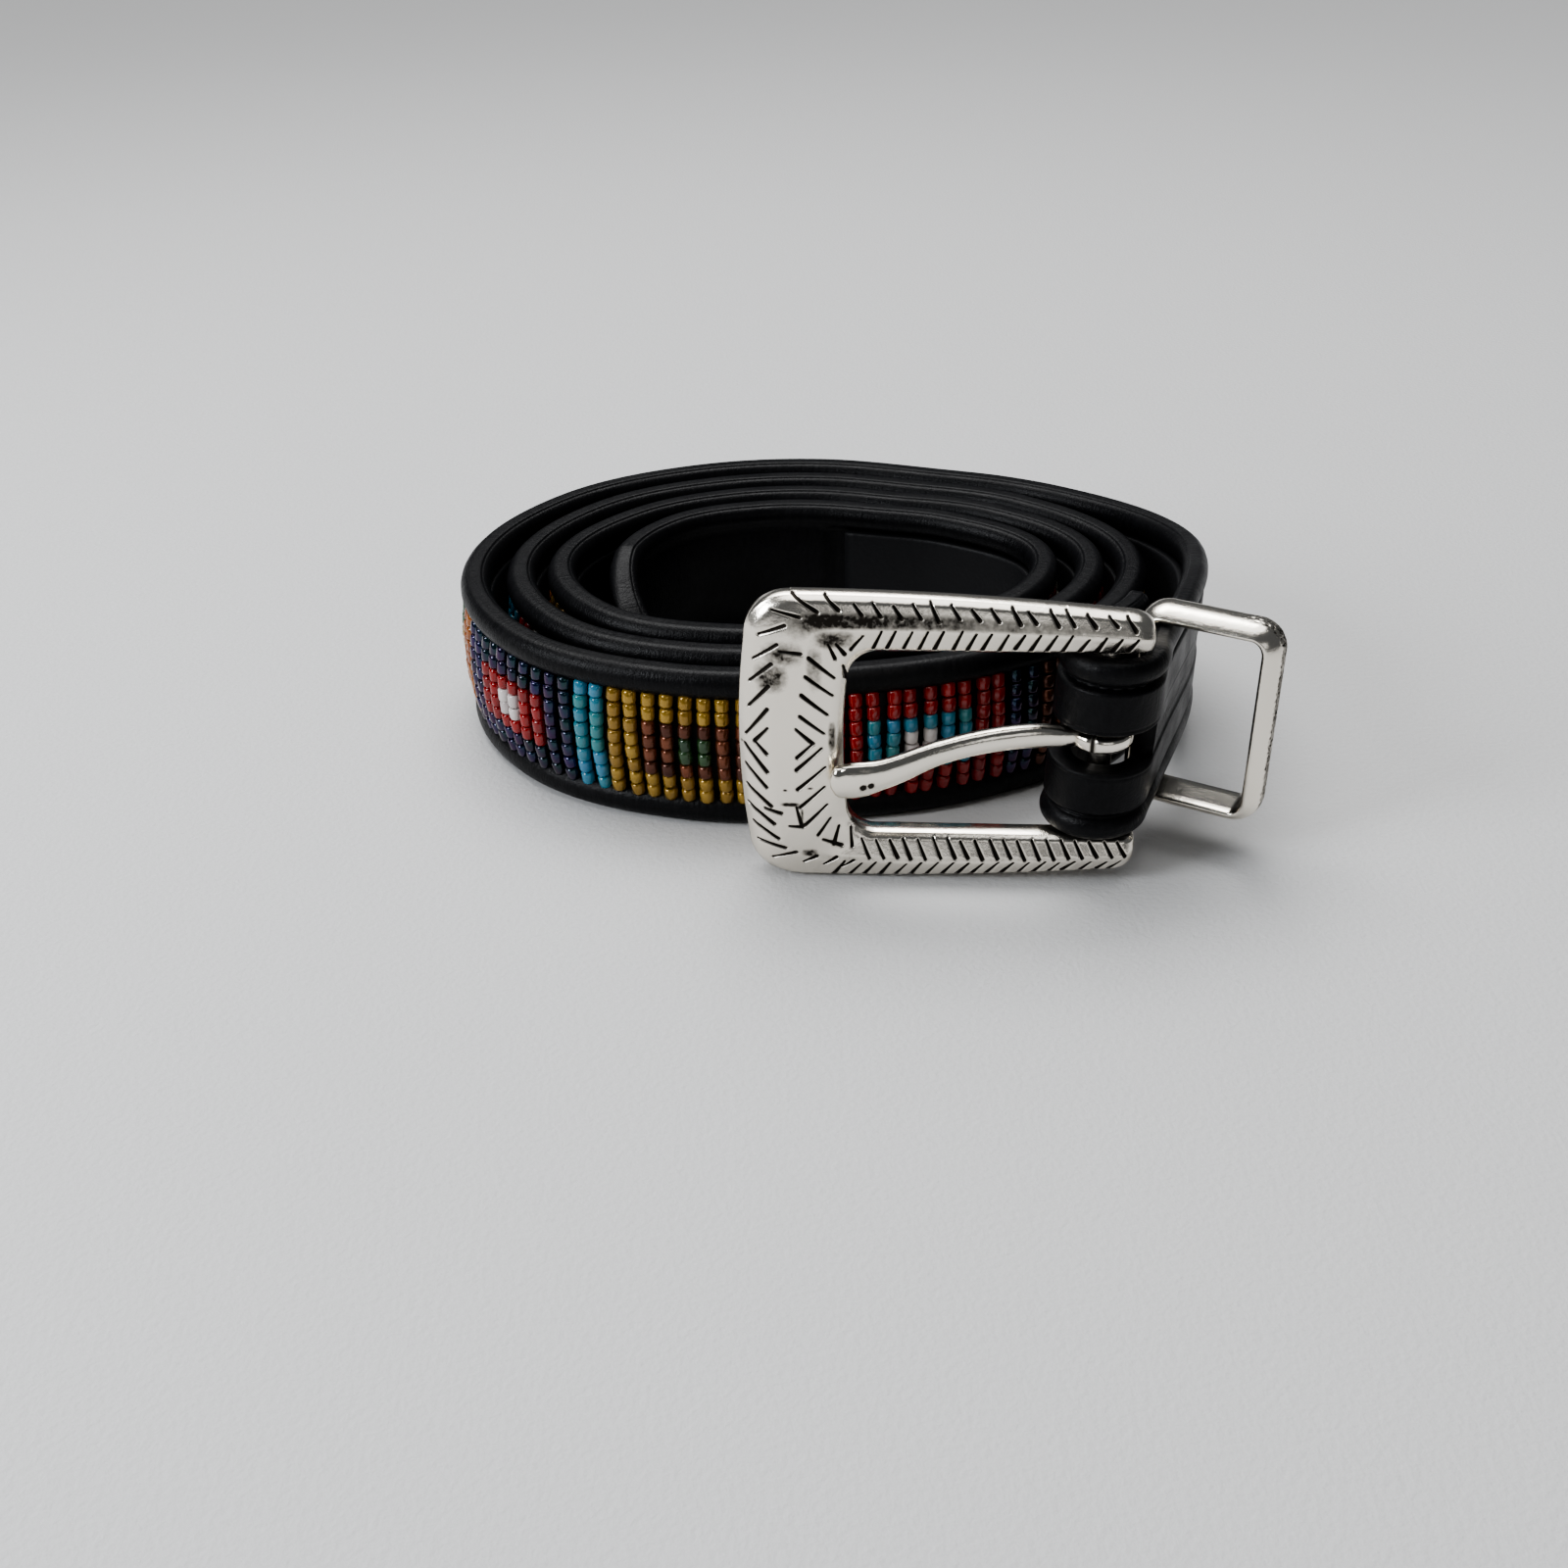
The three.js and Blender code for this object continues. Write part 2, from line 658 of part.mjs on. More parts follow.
keeper.position.set(Math.cos(keeperAngle), Math.sin(keeperAngle), 0).multiplyScalar(keeperOut);
keeper.position.add(placed(keeperStation, 0, (keeperRise - keeperSlack) / 2));
belt.add(keeper);

// The origin stands under the middle of the whole belt, on the surface it rests on.
const bounds = new THREE.Box3().setFromObject(belt, true);
const middle = bounds.getCenter(new THREE.Vector3());
belt.position.set(-middle.x, -middle.y, -bounds.min.z);

export default belt;
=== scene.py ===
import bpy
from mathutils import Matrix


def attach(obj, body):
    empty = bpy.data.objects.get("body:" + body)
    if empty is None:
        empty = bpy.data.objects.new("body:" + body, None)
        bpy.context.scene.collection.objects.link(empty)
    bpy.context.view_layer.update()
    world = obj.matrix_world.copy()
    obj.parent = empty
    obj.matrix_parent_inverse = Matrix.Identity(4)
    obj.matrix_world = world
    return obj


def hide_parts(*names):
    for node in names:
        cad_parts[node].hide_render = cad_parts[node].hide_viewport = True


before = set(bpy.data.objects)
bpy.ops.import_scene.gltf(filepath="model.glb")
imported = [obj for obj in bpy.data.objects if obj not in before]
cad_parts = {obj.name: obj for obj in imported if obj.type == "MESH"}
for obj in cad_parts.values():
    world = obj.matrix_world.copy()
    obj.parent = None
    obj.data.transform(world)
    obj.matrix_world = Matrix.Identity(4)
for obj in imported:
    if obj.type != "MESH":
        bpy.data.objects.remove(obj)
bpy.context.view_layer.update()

import math

import bmesh
import bpy
import numpy as np
from mathutils import Euler, Quaternion, Vector

MM = 0.001

# Camera
# The eye stands 250 mm in front of the coil and looks down on it, as in the photograph.
COIL_CENTRE = np.array([-0.0578, 7.8908, 0.0])
EYE = COIL_CENTRE + np.array([-6.9, -219.27, 117.46])
PITCH = math.radians(31.5)
ROLL = math.radians(-1.3)
camera_data = bpy.data.cameras.new("eye")
camera_data.lens = 38.25
camera_data.sensor_width = 36.0
camera_data.clip_start = 0.01
camera = bpy.data.objects.new("eye", camera_data)
bpy.context.scene.collection.objects.link(camera)
camera.rotation_mode = "QUATERNION"
look = Euler((math.pi / 2 - PITCH, 0, 0)).to_quaternion()
camera.rotation_quaternion = look @ Quaternion((0, 0, 1), ROLL)
camera.location = EYE * MM
bpy.context.scene.camera = camera

# Floor and light
# A plain pale grey cloth on a table, under a broad soft light from above and behind.


def make_material(name, colour, roughness, metallic=0.0, coat=0.0):
    """A principled material and its node tree's parts, with its constants on the shader's own sockets."""
    material = bpy.data.materials.new(name)
    material.use_nodes = True
    tree = material.node_tree
    shader = tree.nodes["Principled BSDF"]
    shader.inputs["Base Color"].default_value = (*colour, 1.0)
    shader.inputs["Roughness"].default_value = roughness
    shader.inputs["Metallic"].default_value = metallic
    shader.inputs["Coat Weight"].default_value = coat
    return material, tree, shader


def add_node(tree, kind, inputs=None, **settings):
    """A node with its settings, and its inputs set or linked by name or number."""
    node = tree.nodes.new(kind)
    for key, value in settings.items():
        setattr(node, key, value)
    for key, value in (inputs or {}).items():
        if isinstance(value, bpy.types.NodeSocket):
            tree.links.new(value, node.inputs[key])
        else:
            node.inputs[key].default_value = value
    return node


def ramp(tree, value, stops):
    """A colour ramp through (place, grey or colour) stops."""
    node = add_node(tree, "ShaderNodeValToRGB", {"Fac": value})
    elements = node.color_ramp.elements
    while len(elements) < len(stops):
        elements.new(0.5)
    for element, (place, colour) in zip(elements, stops):
        element.position = place
        element.color = (*colour, 1.0) if isinstance(colour, tuple) else (colour, colour, colour, 1.0)
    return node.outputs["Color"]


def add_mesh(name, points, face_groups, material, body=None, uvs=None, smooth=True):
    """An object at the origin from points in millimetres and groups of faces, each group an array of
    faces with the same number of corners. Faces are turned outwards."""
    mesh = bpy.data.meshes.new(name)
    points = np.asarray(points, dtype=np.float64).reshape(-1, 3) * MM
    groups = [np.asarray(group, dtype=np.int32) for group in face_groups]
    corners = np.concatenate([group.ravel() for group in groups])
    sides = np.concatenate([np.full(len(group), group.shape[1], dtype=np.int32) for group in groups])
    mesh.vertices.add(len(points))
    mesh.vertices.foreach_set("co", points.ravel())
    mesh.loops.add(len(corners))
    mesh.loops.foreach_set("vertex_index", corners)
    mesh.polygons.add(len(sides))
    mesh.polygons.foreach_set("loop_start", np.concatenate([[0], np.cumsum(sides)[:-1]]).astype(np.int32))
    mesh.polygons.foreach_set("loop_total", sides)
    if uvs is not None:
        layer = mesh.uv_layers.new(name="UVMap")
        layer.data.foreach_set("uv", np.asarray(uvs)[corners].astype(np.float32).ravel())
    mesh.update(calc_edges=True)
    mesh.polygons.foreach_set("use_smooth", np.full(len(sides), smooth))
    mesh.materials.append(material)
    obj = bpy.data.objects.new(name, mesh)
    bpy.context.scene.collection.objects.link(obj)
    if body:
        work = bmesh.new()
        work.from_mesh(mesh)
        bmesh.ops.recalc_face_normals(work, faces=work.faces)
        work.to_mesh(mesh)
        work.free()
        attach(obj, body)
    return obj


felt, tree, shader = make_material("grey_felt", (0.5, 0.5, 0.5), 0.95)
shader.inputs["Specular IOR Level"].default_value = 0.1
place = add_node(tree, "ShaderNodeTexCoord").outputs["Object"]
fuzz = add_node(tree, "ShaderNodeTexNoise", {"Vector": place, "Scale": 1300.0, "Detail": 6.0}).outputs["Fac"]
mottle = add_node(tree, "ShaderNodeTexNoise", {"Vector": place, "Scale": 120.0, "Detail": 5.0}).outputs["Fac"]
both = add_node(tree, "ShaderNodeMath", {0: fuzz, 1: mottle}, operation="ADD").outputs[0]
tree.links.new(ramp(tree, both, [(0.3, 0.42), (0.7, 0.56)]), shader.inputs["Base Color"])
bump = add_node(tree, "ShaderNodeBump", {"Height": fuzz, "Strength": 0.4, "Distance": 0.0004})
tree.links.new(bump.outputs[0], shader.inputs["Normal"])
FLOOR_HALF = 3000.0
floor_corners = FLOOR_HALF * np.array([(-1, -1, 0), (1, -1, 0), (1, 1, 0), (-1, 1, 0)])
floor = add_mesh("table_cloth", floor_corners, [[[0, 1, 2, 3]]], felt)

world = bpy.data.worlds.new("room")
bpy.context.scene.world = world
bpy.context.scene.view_settings.look = "AgX - Medium High Contrast"
world.use_nodes = True
world.node_tree.nodes["Background"].inputs[0].default_value = (0.86, 0.9, 0.96, 1)
world.node_tree.nodes["Background"].inputs[1].default_value = 0.1


def add_light(name, place, target, size, power, tint=(1.0, 1.0, 1.0)):
    """A rectangular soft light at a place in millimetres, turned to its target."""
    data = bpy.data.lights.new(name, "AREA")
    data.shape = "RECTANGLE"
    data.size, data.size_y = (side * MM for side in size)
    data.energy = power
    data.color = tint
    light = bpy.data.objects.new(name, data)
    direction = Vector(target) - Vector(place)
    light.rotation_euler = direction.to_track_quat("-Z", "Y").to_euler()
    light.location = Vector(place) * MM
    bpy.context.scene.collection.objects.link(light)


add_light("overhead", (-80, 210, 560), (0, 0, 0), (420, 260), 2.0)
add_light("left_window", (-460, -230, 290), (0, 0, 20), (200, 240), 2.2, (0.93, 0.96, 1.0))
add_light("front_fill", (140, -620, 240), (0, 0, 10), (360, 200), 0.2)
sky_data = bpy.data.lights.new("wide_sky", "SUN")
sky_data.energy = 2.3
sky_data.angle = math.radians(70)
sky = bpy.data.objects.new("wide_sky", sky_data)
sky.rotation_euler = Vector((0.1, -0.35, -1)).to_track_quat("-Z", "Y").to_euler()
bpy.context.scene.collection.objects.link(sky)

# Strap
# A band of black calf leather whose two edges are rolled over a cord. It is folded round the
# buckle's bar, stitched back on itself and wound into a coil that stands on its edge.
STRAP_WIDTH = 22.0
ROLL_RADIUS = 2.1
WEB_HALF = 0.6
PAD_OUTER_SHARE = 0.88
PAD_INNER_SHARE = 0.93
LINING_THICKNESS = 1.3
LAYER_GAP = 0.15
BEAD_OUTER = 2.7
COIL_HALF_LENGTH = 49.0
WRAP_PITCH = 5.1
COIL_OUTLINE = [1.0, 0.853, 0.712, 0.722, 0.8, 0.93, 1.015, 0.96, 0.822, 0.729, 0.747, 0.837]
COIL_STEPS = [
    [1.31, 1.27, 1.15, 1.19, 1.27, 1.29, 1.26, 1.24, 1.25, 1.25, 1.27, 1.15],
    [1.10, 1.15, 1.10, 1.12, 1.15, 1.25, 1.12, 1.19, 1.23, 1.08, 1.08, 1.15],
    [1.29, 1.31, 1.08, 1.12, 1.19, 1.27, 1.69, 1.42, 1.15, 1.04, 1.04, 1.06],
]
STRAP_END_BEARING = 1282.0
FOLD_PLACE = np.array([31.2, -47.6208])
BAR_HEIGHT = 18.7
BAR_PULL = 1.788
FOLD_HEADING = math.radians(20)
FOLD_RADIUS = 5.0
FOLD_ROLL_SHARE = 0.72
FOLD_RETURN = 16.312
FOLD_SPREAD = 0.08
FOLD_LEAN = 0.045
FOLD_FADE = 5.5
LEAD_END_BEARING = -10.0
FOLD_LIFT = BAR_HEIGHT - STRAP_WIDTH / 2

outline = COIL_HALF_LENGTH * np.array(COIL_OUTLINE)
steps_in = np.cumsum(np.vstack([np.zeros(12), COIL_STEPS]), axis=0)
wrap_radii = (outline - WRAP_PITCH * steps_in).ravel()


def coil_point(bearing):
    """Points of the coil's centre line at running bearings: Catmull-Rom through the wraps' radii."""
    place = bearing / 30.0
    low = np.clip(np.floor(place), 0, len(wrap_radii) - 2).astype(int)
    t = place - low
    last = len(wrap_radii) - 1
    opened = 1.5 * wrap_radii[0] - 0.5 * wrap_radii[1]
    a = np.where(low == 0, opened, wrap_radii[np.clip(low - 1, 0, last)])
    b, c, d = (wrap_radii[np.clip(low + k, 0, last)] for k in (0, 1, 2))
    radius = b + 0.5 * t * (c - a + t * (2 * a - 5 * b + 4 * c - d + t * (3 * (b - c) + d - a)))
    angle = np.radians(bearing)
    return np.stack([radius * np.cos(angle), radius * np.sin(angle)], axis=-1)


def bezier(points, count):
    """Points along a cubic Bezier curve, without its last one."""
    t = np.linspace(0, 1, count, endpoint=False)[:, None]
    a, b, c, d = (np.asarray(p) for p in points)
    return a * (1 - t) ** 3 + 3 * b * t * (1 - t) ** 2 + 3 * c * t * t * (1 - t) + d * t**3


along = np.array([math.sin(FOLD_HEADING), math.cos(FOLD_HEADING)])
aside = np.array([along[1], -along[0]])


def from_fold(along_by, aside_by):
    return FOLD_PLACE + along * along_by + aside * aside_by


turn = np.pi * np.linspace(0, 1, 40, endpoint=False)[:, None]
half_turn = FOLD_PLACE - along * FOLD_RADIUS * np.sin(turn) - aside * FOLD_RADIUS * np.cos(turn)
lead_end = coil_point(np.array([LEAD_END_BEARING]))[0]
heading = np.subtract(*coil_point(np.array([LEAD_END_BEARING + 1, LEAD_END_BEARING - 1])))
heading /= np.linalg.norm(heading)
lead_start = from_fold(0, FOLD_RADIUS)
reach = np.linalg.norm(lead_end - lead_start) / 3
STITCHED_OFFSET = 0.5
STRAIGHT_SHARE = 0.62
SWELL_SHARE = 0.42
back_leg = bezier(
    [
        from_fold(FOLD_RETURN, STITCHED_OFFSET),
        from_fold(FOLD_RETURN * STRAIGHT_SHARE, 0),
        from_fold(FOLD_RETURN * SWELL_SHARE, -FOLD_RADIUS),
        from_fold(0, -FOLD_RADIUS),
    ],
    60,
)
lead = bezier([lead_start, lead_start + along * reach, lead_end - heading * reach, lead_end], 80)
coil_bearings = np.arange(LEAD_END_BEARING, STRAP_END_BEARING + 0.1, 1.0)
way = np.vstack([back_leg, half_turn, lead, coil_point(coil_bearings)])
way_bearing = np.concatenate([np.full(len(back_leg) + len(half_turn) + len(lead), LEAD_END_BEARING), coil_bearings])
way_travel = np.concatenate([[0], np.cumsum(np.linalg.norm(np.diff(way, axis=0), axis=1))])
belt_length = way_travel[-1]
turn_travel = way_travel[len(back_leg) + len(half_turn)]


def travel_at(bearing):
    """Length of strap from its stitched end to a running bearing of the coil."""
    return np.interp(bearing, way_bearing[len(way) - len(coil_bearings):], way_travel[len(way) - len(coil_bearings):])


settle_travel = travel_at(40.0)
bead_start = travel_at(20.0)
lining_start = turn_travel + FOLD_RETURN + 1.5
billet_start = belt_length - 52.0


def settled(travel):
    """How far the strap has come down to the surface: 3 t^2 - 2 t^3 from the turn to the settled place."""
    share = np.clip((travel - turn_travel) / (settle_travel - turn_travel), 0, 1)
    return share * share * (3 - 2 * share)


def strap_frame(travel):
    """Place, outward normal and lift of the strap at lengths along it, as arrays."""
    place = np.stack([np.interp(travel, way_travel, way[:, k]) for k in (0, 1)], axis=-1)
    ahead = np.stack([np.interp(travel + 0.6, way_travel, way[:, k]) for k in (0, 1)], axis=-1)
    behind = np.stack([np.interp(travel - 0.6, way_travel, way[:, k]) for k in (0, 1)], axis=-1)
    heading = ahead - behind
    heading /= np.linalg.norm(heading, axis=-1, keepdims=True)
    normal = np.stack([heading[..., 1], -heading[..., 0]], axis=-1)
    lift = FOLD_LIFT * (1 - settled(travel))
    return place, normal, lift


def smooth_in(t):
    return np.clip(t, 0, 1) ** 2 * (3 - 2 * np.clip(t, 0, 1))


def on_strap(travel, out, up):
    """Points at a length along the strap, a distance out of its middle plane and up its width, which
    spreads and leans aside a little round the bar."""
    place, normal, lift = strap_frame(travel)
    past = np.maximum(travel - turn_travel, turn_travel - math.pi * FOLD_RADIUS - travel)
    folded = 1 - smooth_in(past / FOLD_FADE)
    lean = np.asarray(FOLD_LEAN * folded * up)[..., None] * aside
    plan = place + normal * np.asarray(out)[..., None] + lean + COIL_CENTRE[:2]
    height = lift + STRAP_WIDTH / 2 + up * (1 + FOLD_SPREAD * folded)
    return np.concatenate([plan, np.broadcast_to(height, plan.shape[:-1])[..., None]], axis=-1)


def loop_faces(rows, columns, keep=None):
    """Quads between neighbouring rows of a grid whose columns close into a loop."""
    r, c = np.meshgrid(np.arange(rows - 1), np.arange(columns), indexing="ij")
    after = (c + 1) % columns
    quads = np.stack([r * columns + c, r * columns + after, (r + 1) * columns + after, (r + 1) * columns + c], axis=-1)
    quads = quads.reshape(-1, 4)
    return quads if keep is None else quads[keep.ravel()]


# The section runs from the middle of the outer face over the upper roll to the middle of the
# inner face; its mirror image closes it below. Inside the groove it is laid out from the middle,
# near it from the roll. The roll is thinner round the bar than in the coil.
SEAM_ANGLE = 121.0
SLOT_HALF = 2.4
GROOVE_IN = 0.3
ROLL_SINK = 0.9144
POINT_CORE = 3.6
outer_even = np.array([0.0, 1.3, SLOT_HALF, 2.47, 2.62, 2.85, 2.98, 3.1, 3.4])
outer_share = np.array([0.3, 0.62, 0.85, 1.0])
groove_back = np.array([0.86, 0.66, 0.54, 0.44, GROOVE_IN, 0.16, 0.06])
roll_angles = np.array([
    -62, -50, -36, -20, -4, 12, 28, 42, 54, 66, 78, 90,
    102, 112, 117, SEAM_ANGLE, 125, 130, 142, 156, 172, 188, 205, 222,
])
inner_ups = np.array([7.1, 6.7, 6.2, 5.2, 3.9, 2.85, SLOT_HALF, 1.3, 0.0])


def strap_ring(travel, bare_out, bare_in, half):
    """Section of the strap at lengths along it. The outer face is a pad between two stitched grooves
    where it is bare, the edge is a roll with a fine seam, and the inner face swells too."""
    share = settled(travel)[:, None]
    radius = ROLL_RADIUS * (FOLD_ROLL_SHARE + (1 - FOLD_ROLL_SHARE) * share)
    middle = STRAP_WIDTH / 2 - ROLL_SINK * radius
    angle = np.radians(roll_angles - 12 * (1 - share) * np.clip(-roll_angles / 62, 0, 1))
    edge = middle + radius * np.sin(angle[:, :1])
    near = edge - groove_back
    far = outer_even[-1] + (near[:, :1] - 0.2 - outer_even[-1]) * outer_share
    up = np.hstack([np.broadcast_to(outer_even, (len(travel), len(outer_even))), far, near])
    pad = PAD_OUTER_SHARE * radius * (1 - 0.05 * (up / edge) ** 2)
    groove = np.exp(-(np.abs((edge - GROOVE_IN - up) / 0.27) ** 3))
    rim = 0.1 * np.exp(-(((up - 2.98) / 0.08) ** 2)) + 0.3 * np.clip((2.62 - up) / 0.22, 0, 1) ** 2
    pad = pad - (pad - 0.12) * groove - rim * (1 - share)
    thin = WEB_HALF - 0.5 * (up / edge) ** 2
    bare = bare_out[:, None]
    outer = bare * pad + (1 - bare) * thin
    seam = np.degrees(angle) - SEAM_ANGLE
    rolled = radius * (1 - 0.08 * np.exp(-((seam / 3.2) ** 2)) - 0.024 * (seam > 0))
    roll_out = rolled * np.cos(angle)
    roll_up = np.minimum(middle + rolled * np.sin(angle), STRAP_WIDTH / 2)
    inner_pad = -PAD_INNER_SHARE * radius * (1 - 0.12 * (inner_ups / 7.3) ** 4)
    back = bare_in[:, None]
    inner = back * inner_pad + (1 - back) * -WEB_HALF
    outs = np.hstack([outer, roll_out, inner])
    ups = np.hstack([up, roll_up, np.broadcast_to(inner_ups, inner.shape)])
    half_width = STRAP_WIDTH / 2 * half[:, None]
    squeezed = (half_width - POINT_CORE) / (STRAP_WIDTH / 2 - POINT_CORE)
    pointed = np.where(ups > POINT_CORE, POINT_CORE + (ups - POINT_CORE) * squeezed, np.minimum(ups, half_width))
    return outs, pointed


SLOT_START = turn_travel - math.pi * FOLD_RADIUS - 2.96
SLOT_END = turn_travel + 0.5
strap_travel = np.unique(np.concatenate([
    np.arange(0, turn_travel + 16, 0.5), np.arange(turn_travel + 16, belt_length - 16, 1.1),
    np.linspace(belt_length - 16, belt_length, 30), [SLOT_START, SLOT_END],
]))


PAD_END = 3.5
BACK_END = 2.5
beaded = smooth_in((strap_travel - bead_start + 4) / PAD_END) - smooth_in((strap_travel - billet_start) / PAD_END)
lined = smooth_in((strap_travel - lining_start + 3) / BACK_END) - smooth_in((strap_travel - billet_start) / BACK_END)
bare_out = np.clip(1 - beaded, 0, 1)
bare_in = np.clip(1 - lined, 0, 1)
tip_half = np.interp(belt_length - strap_travel, [0, 1.2, 3.5, 8.4, 14], [0.34, 0.48, 0.62, 0.86, 1.0])
outs, ups = strap_ring(strap_travel, bare_out, bare_in, tip_half)
outs = np.hstack([outs, outs[:, ::-1][:, 1:-1]])
ups = np.hstack([ups, -ups[:, ::-1][:, 1:-1]])
columns = outs.shape[1]
rows = len(strap_travel)
points = on_strap(np.broadcast_to(strap_travel[:, None], outs.shape), outs, ups)
around = np.concatenate([[0], np.cumsum(np.hypot(np.diff(outs[0]), np.diff(ups[0])))])
strap_uv = np.stack(np.broadcast_arrays(strap_travel[:, None] * MM, around[None, :] * MM), axis=-1).reshape(-1, 2)
row_mid = (strap_travel[:-1] + strap_travel[1:]) / 2
in_slot_row = (row_mid > SLOT_START) & (row_mid < SLOT_END)
column_up = (np.abs(ups[0]) + np.abs(np.roll(ups[0], -1))) / 2
in_slot_column = column_up < SLOT_HALF
keep = ~(in_slot_row[:, None] & in_slot_column[None, :])
faces = loop_faces(rows, columns, keep)
first_row = np.argmax(in_slot_row)
last_row = rows - 1 - np.argmax(in_slot_row[::-1])
half_columns = columns // 2 + 1
top_out = int(np.argmin(np.abs(outer_even - SLOT_HALF)))
top_in = half_columns - len(inner_ups) + int(np.argmin(np.abs(inner_ups - SLOT_HALF)))


def mirror(column):
    return (columns - column) % columns


walls = []
slot_rows = np.arange(first_row, last_row)
for out_column, in_column, flip in ((top_out, top_in, True), (mirror(top_out), mirror(top_in), False)):
    a = slot_rows * columns + out_column
    b = slot_rows * columns + in_column
    quads = np.stack([a, a + columns, b + columns, b], axis=-1)
    walls.append(quads[:, ::-1] if flip else quads)
outer_span = np.array([mirror(c) for c in range(top_out, 0, -1)] + list(range(0, top_out + 1)))
inner_span = np.array([mirror(c) for c in range(top_in, half_columns - 1)] + list(range(half_columns - 1, top_in - 1, -1)))
for row, flip in ((first_row, False), (last_row, True)):
    outer_edge = row * columns + outer_span
    inner_edge = row * columns + inner_span
    quads = np.stack([outer_edge[:-1], outer_edge[1:], inner_edge[1:], inner_edge[:-1]], axis=-1)
    walls.append(quads[:, ::-1] if flip else quads)
ends = np.array([np.arange(columns), np.arange(columns) + (rows - 1) * columns])

calf, tree, shader = make_material("black_calf", (0.008, 0.008, 0.009), 0.42)
shader.inputs["Specular IOR Level"].default_value = 0.15
place = add_node(tree, "ShaderNodeUVMap", uv_map="UVMap").outputs["UV"]
stretch = add_node(tree, "ShaderNodeMapping", {"Vector": place, "Scale": (3.2, 1.0, 1.0)}).outputs[0]
cells = add_node(tree, "ShaderNodeTexVoronoi", {"Vector": place, "Scale": 2300.0}, feature="DISTANCE_TO_EDGE")
grain = cells.outputs["Distance"]
creases = {"Vector": stretch, "Scale": 520.0, "Detail": 5.0, "Roughness": 0.65}
crease = add_node(tree, "ShaderNodeTexNoise", creases).outputs["Fac"]
cloudy = add_node(tree, "ShaderNodeTexNoise", {"Vector": place, "Scale": 160.0, "Detail": 3.0}).outputs["Fac"]
grain_height = add_node(tree, "ShaderNodeMath", {0: grain, 1: 0.16}, operation="MINIMUM").outputs[0]
fine = add_node(tree, "ShaderNodeBump", {"Height": grain_height, "Strength": 0.35, "Distance": 0.00025}).outputs[0]
soft = add_node(tree, "ShaderNodeBump", {"Height": crease, "Strength": 0.5, "Distance": 0.0002, "Normal": fine})
tree.links.new(soft.outputs[0], shader.inputs["Normal"])
tree.links.new(ramp(tree, cloudy, [(0.3, 0.28), (0.7, 0.46)]), shader.inputs["Roughness"])
black = ramp(tree, crease, [(0.3, (0.002, 0.002, 0.0025)), (0.75, (0.007, 0.007, 0.008))])
tree.links.new(black, shader.inputs["Base Color"])
strap = add_mesh("strap_calf", points, [faces, *walls, ends], calf, "belt", strap_uv)
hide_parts("strap_leather")

# Stitches
# Black waxed thread in the two grooves of the fold, one stitch every 1.5 mm, that closes the rolled
# edges and holds the turned-back end.
STITCH_PITCH = 1.5
STITCH_HALF = 0.56
STITCH_RADIUS = 0.2
stitch_travel = np.arange(1.2, bead_start - 5, STITCH_PITCH)
stitch_radius = ROLL_RADIUS * (FOLD_ROLL_SHARE + (1 - FOLD_ROLL_SHARE) * settled(stitch_travel))
stitch_edge = STRAP_WIDTH / 2 - stitch_radius * (ROLL_SINK + np.sin(np.radians(74 - 12 * settled(stitch_travel))))
stitch_middle = np.concatenate([stitch_edge - GROOVE_IN, GROOVE_IN - stitch_edge])
stitch_centre = np.concatenate([stitch_travel, stitch_travel])
ring_along = np.array([-1.0, -0.86, -0.4, 0.4, 0.86, 1.0])
ring_wide = np.array([0.12, 0.66, 1.0, 1.0, 0.66, 0.12])
spin = 2 * np.pi * np.arange(6) / 6
s = stitch_centre[:, None, None] + STITCH_HALF * ring_along[None, :, None] + 0 * spin
out = 0.26 + STITCH_RADIUS * ring_wide[None, :, None] * np.cos(spin) - 0.12 * ring_along[None, :, None] ** 2
up = stitch_middle[:, None, None] + 0.05 * ring_along[None, :, None]
up = up + STITCH_RADIUS * ring_wide[None, :, None] * np.sin(spin)
points = on_strap(s, np.broadcast_to(out, s.shape), up)
one = np.concatenate([loop_faces(6, 6)])
number = len(stitch_centre)
faces = (one[None] + 36 * np.arange(number)[:, None, None]).reshape(-1, 4)
caps = np.stack([np.arange(6), 30 + np.arange(6)])
caps = (caps[None] + 36 * np.arange(number)[:, None, None]).reshape(-1, 6)
thread, tree, shader = make_material("black_thread", (0.01, 0.01, 0.011), 0.55)
stitches = add_mesh("fold_stitches", points, [faces, caps], thread, "belt")
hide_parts("strap_leather")

# Lining
# A thin band of plain black leather glued inside the strap, between the rolled edges.
LINING_HALF = 7.1
lining_ups = np.array([0, 2.4, 4.6, 6.0, 6.7, 7.0, LINING_HALF, LINING_HALF, 7.0, 6.6, 5.6, 3.0, 0])
lining_top = -WEB_HALF - LAYER_GAP
lining_outs = lining_top - LINING_THICKNESS * np.array([0, 0, 0, 0, 0, 0.04, 0.16, 0.84, 0.96, 1, 1, 1, 1])
lining_travel = np.arange(lining_start + 0.3, billet_start - 0.3, 1.5)
outs = np.broadcast_to(np.concatenate([lining_outs, lining_outs[::-1][1:-1]]), (len(lining_travel), 24))
ups = np.broadcast_to(np.concatenate([lining_ups, -lining_ups[::-1][1:-1]]), outs.shape)
points = on_strap(np.broadcast_to(lining_travel[:, None], outs.shape), outs, ups)
around = np.concatenate([[0], np.cumsum(np.hypot(np.diff(outs[0]), np.diff(ups[0])))])
uv = np.stack(np.broadcast_arrays(lining_travel[:, None] * MM, around[None, :] * MM), axis=-1).reshape(-1, 2)
ends = np.array([np.arange(24), np.arange(24) + (len(lining_travel) - 1) * 24])
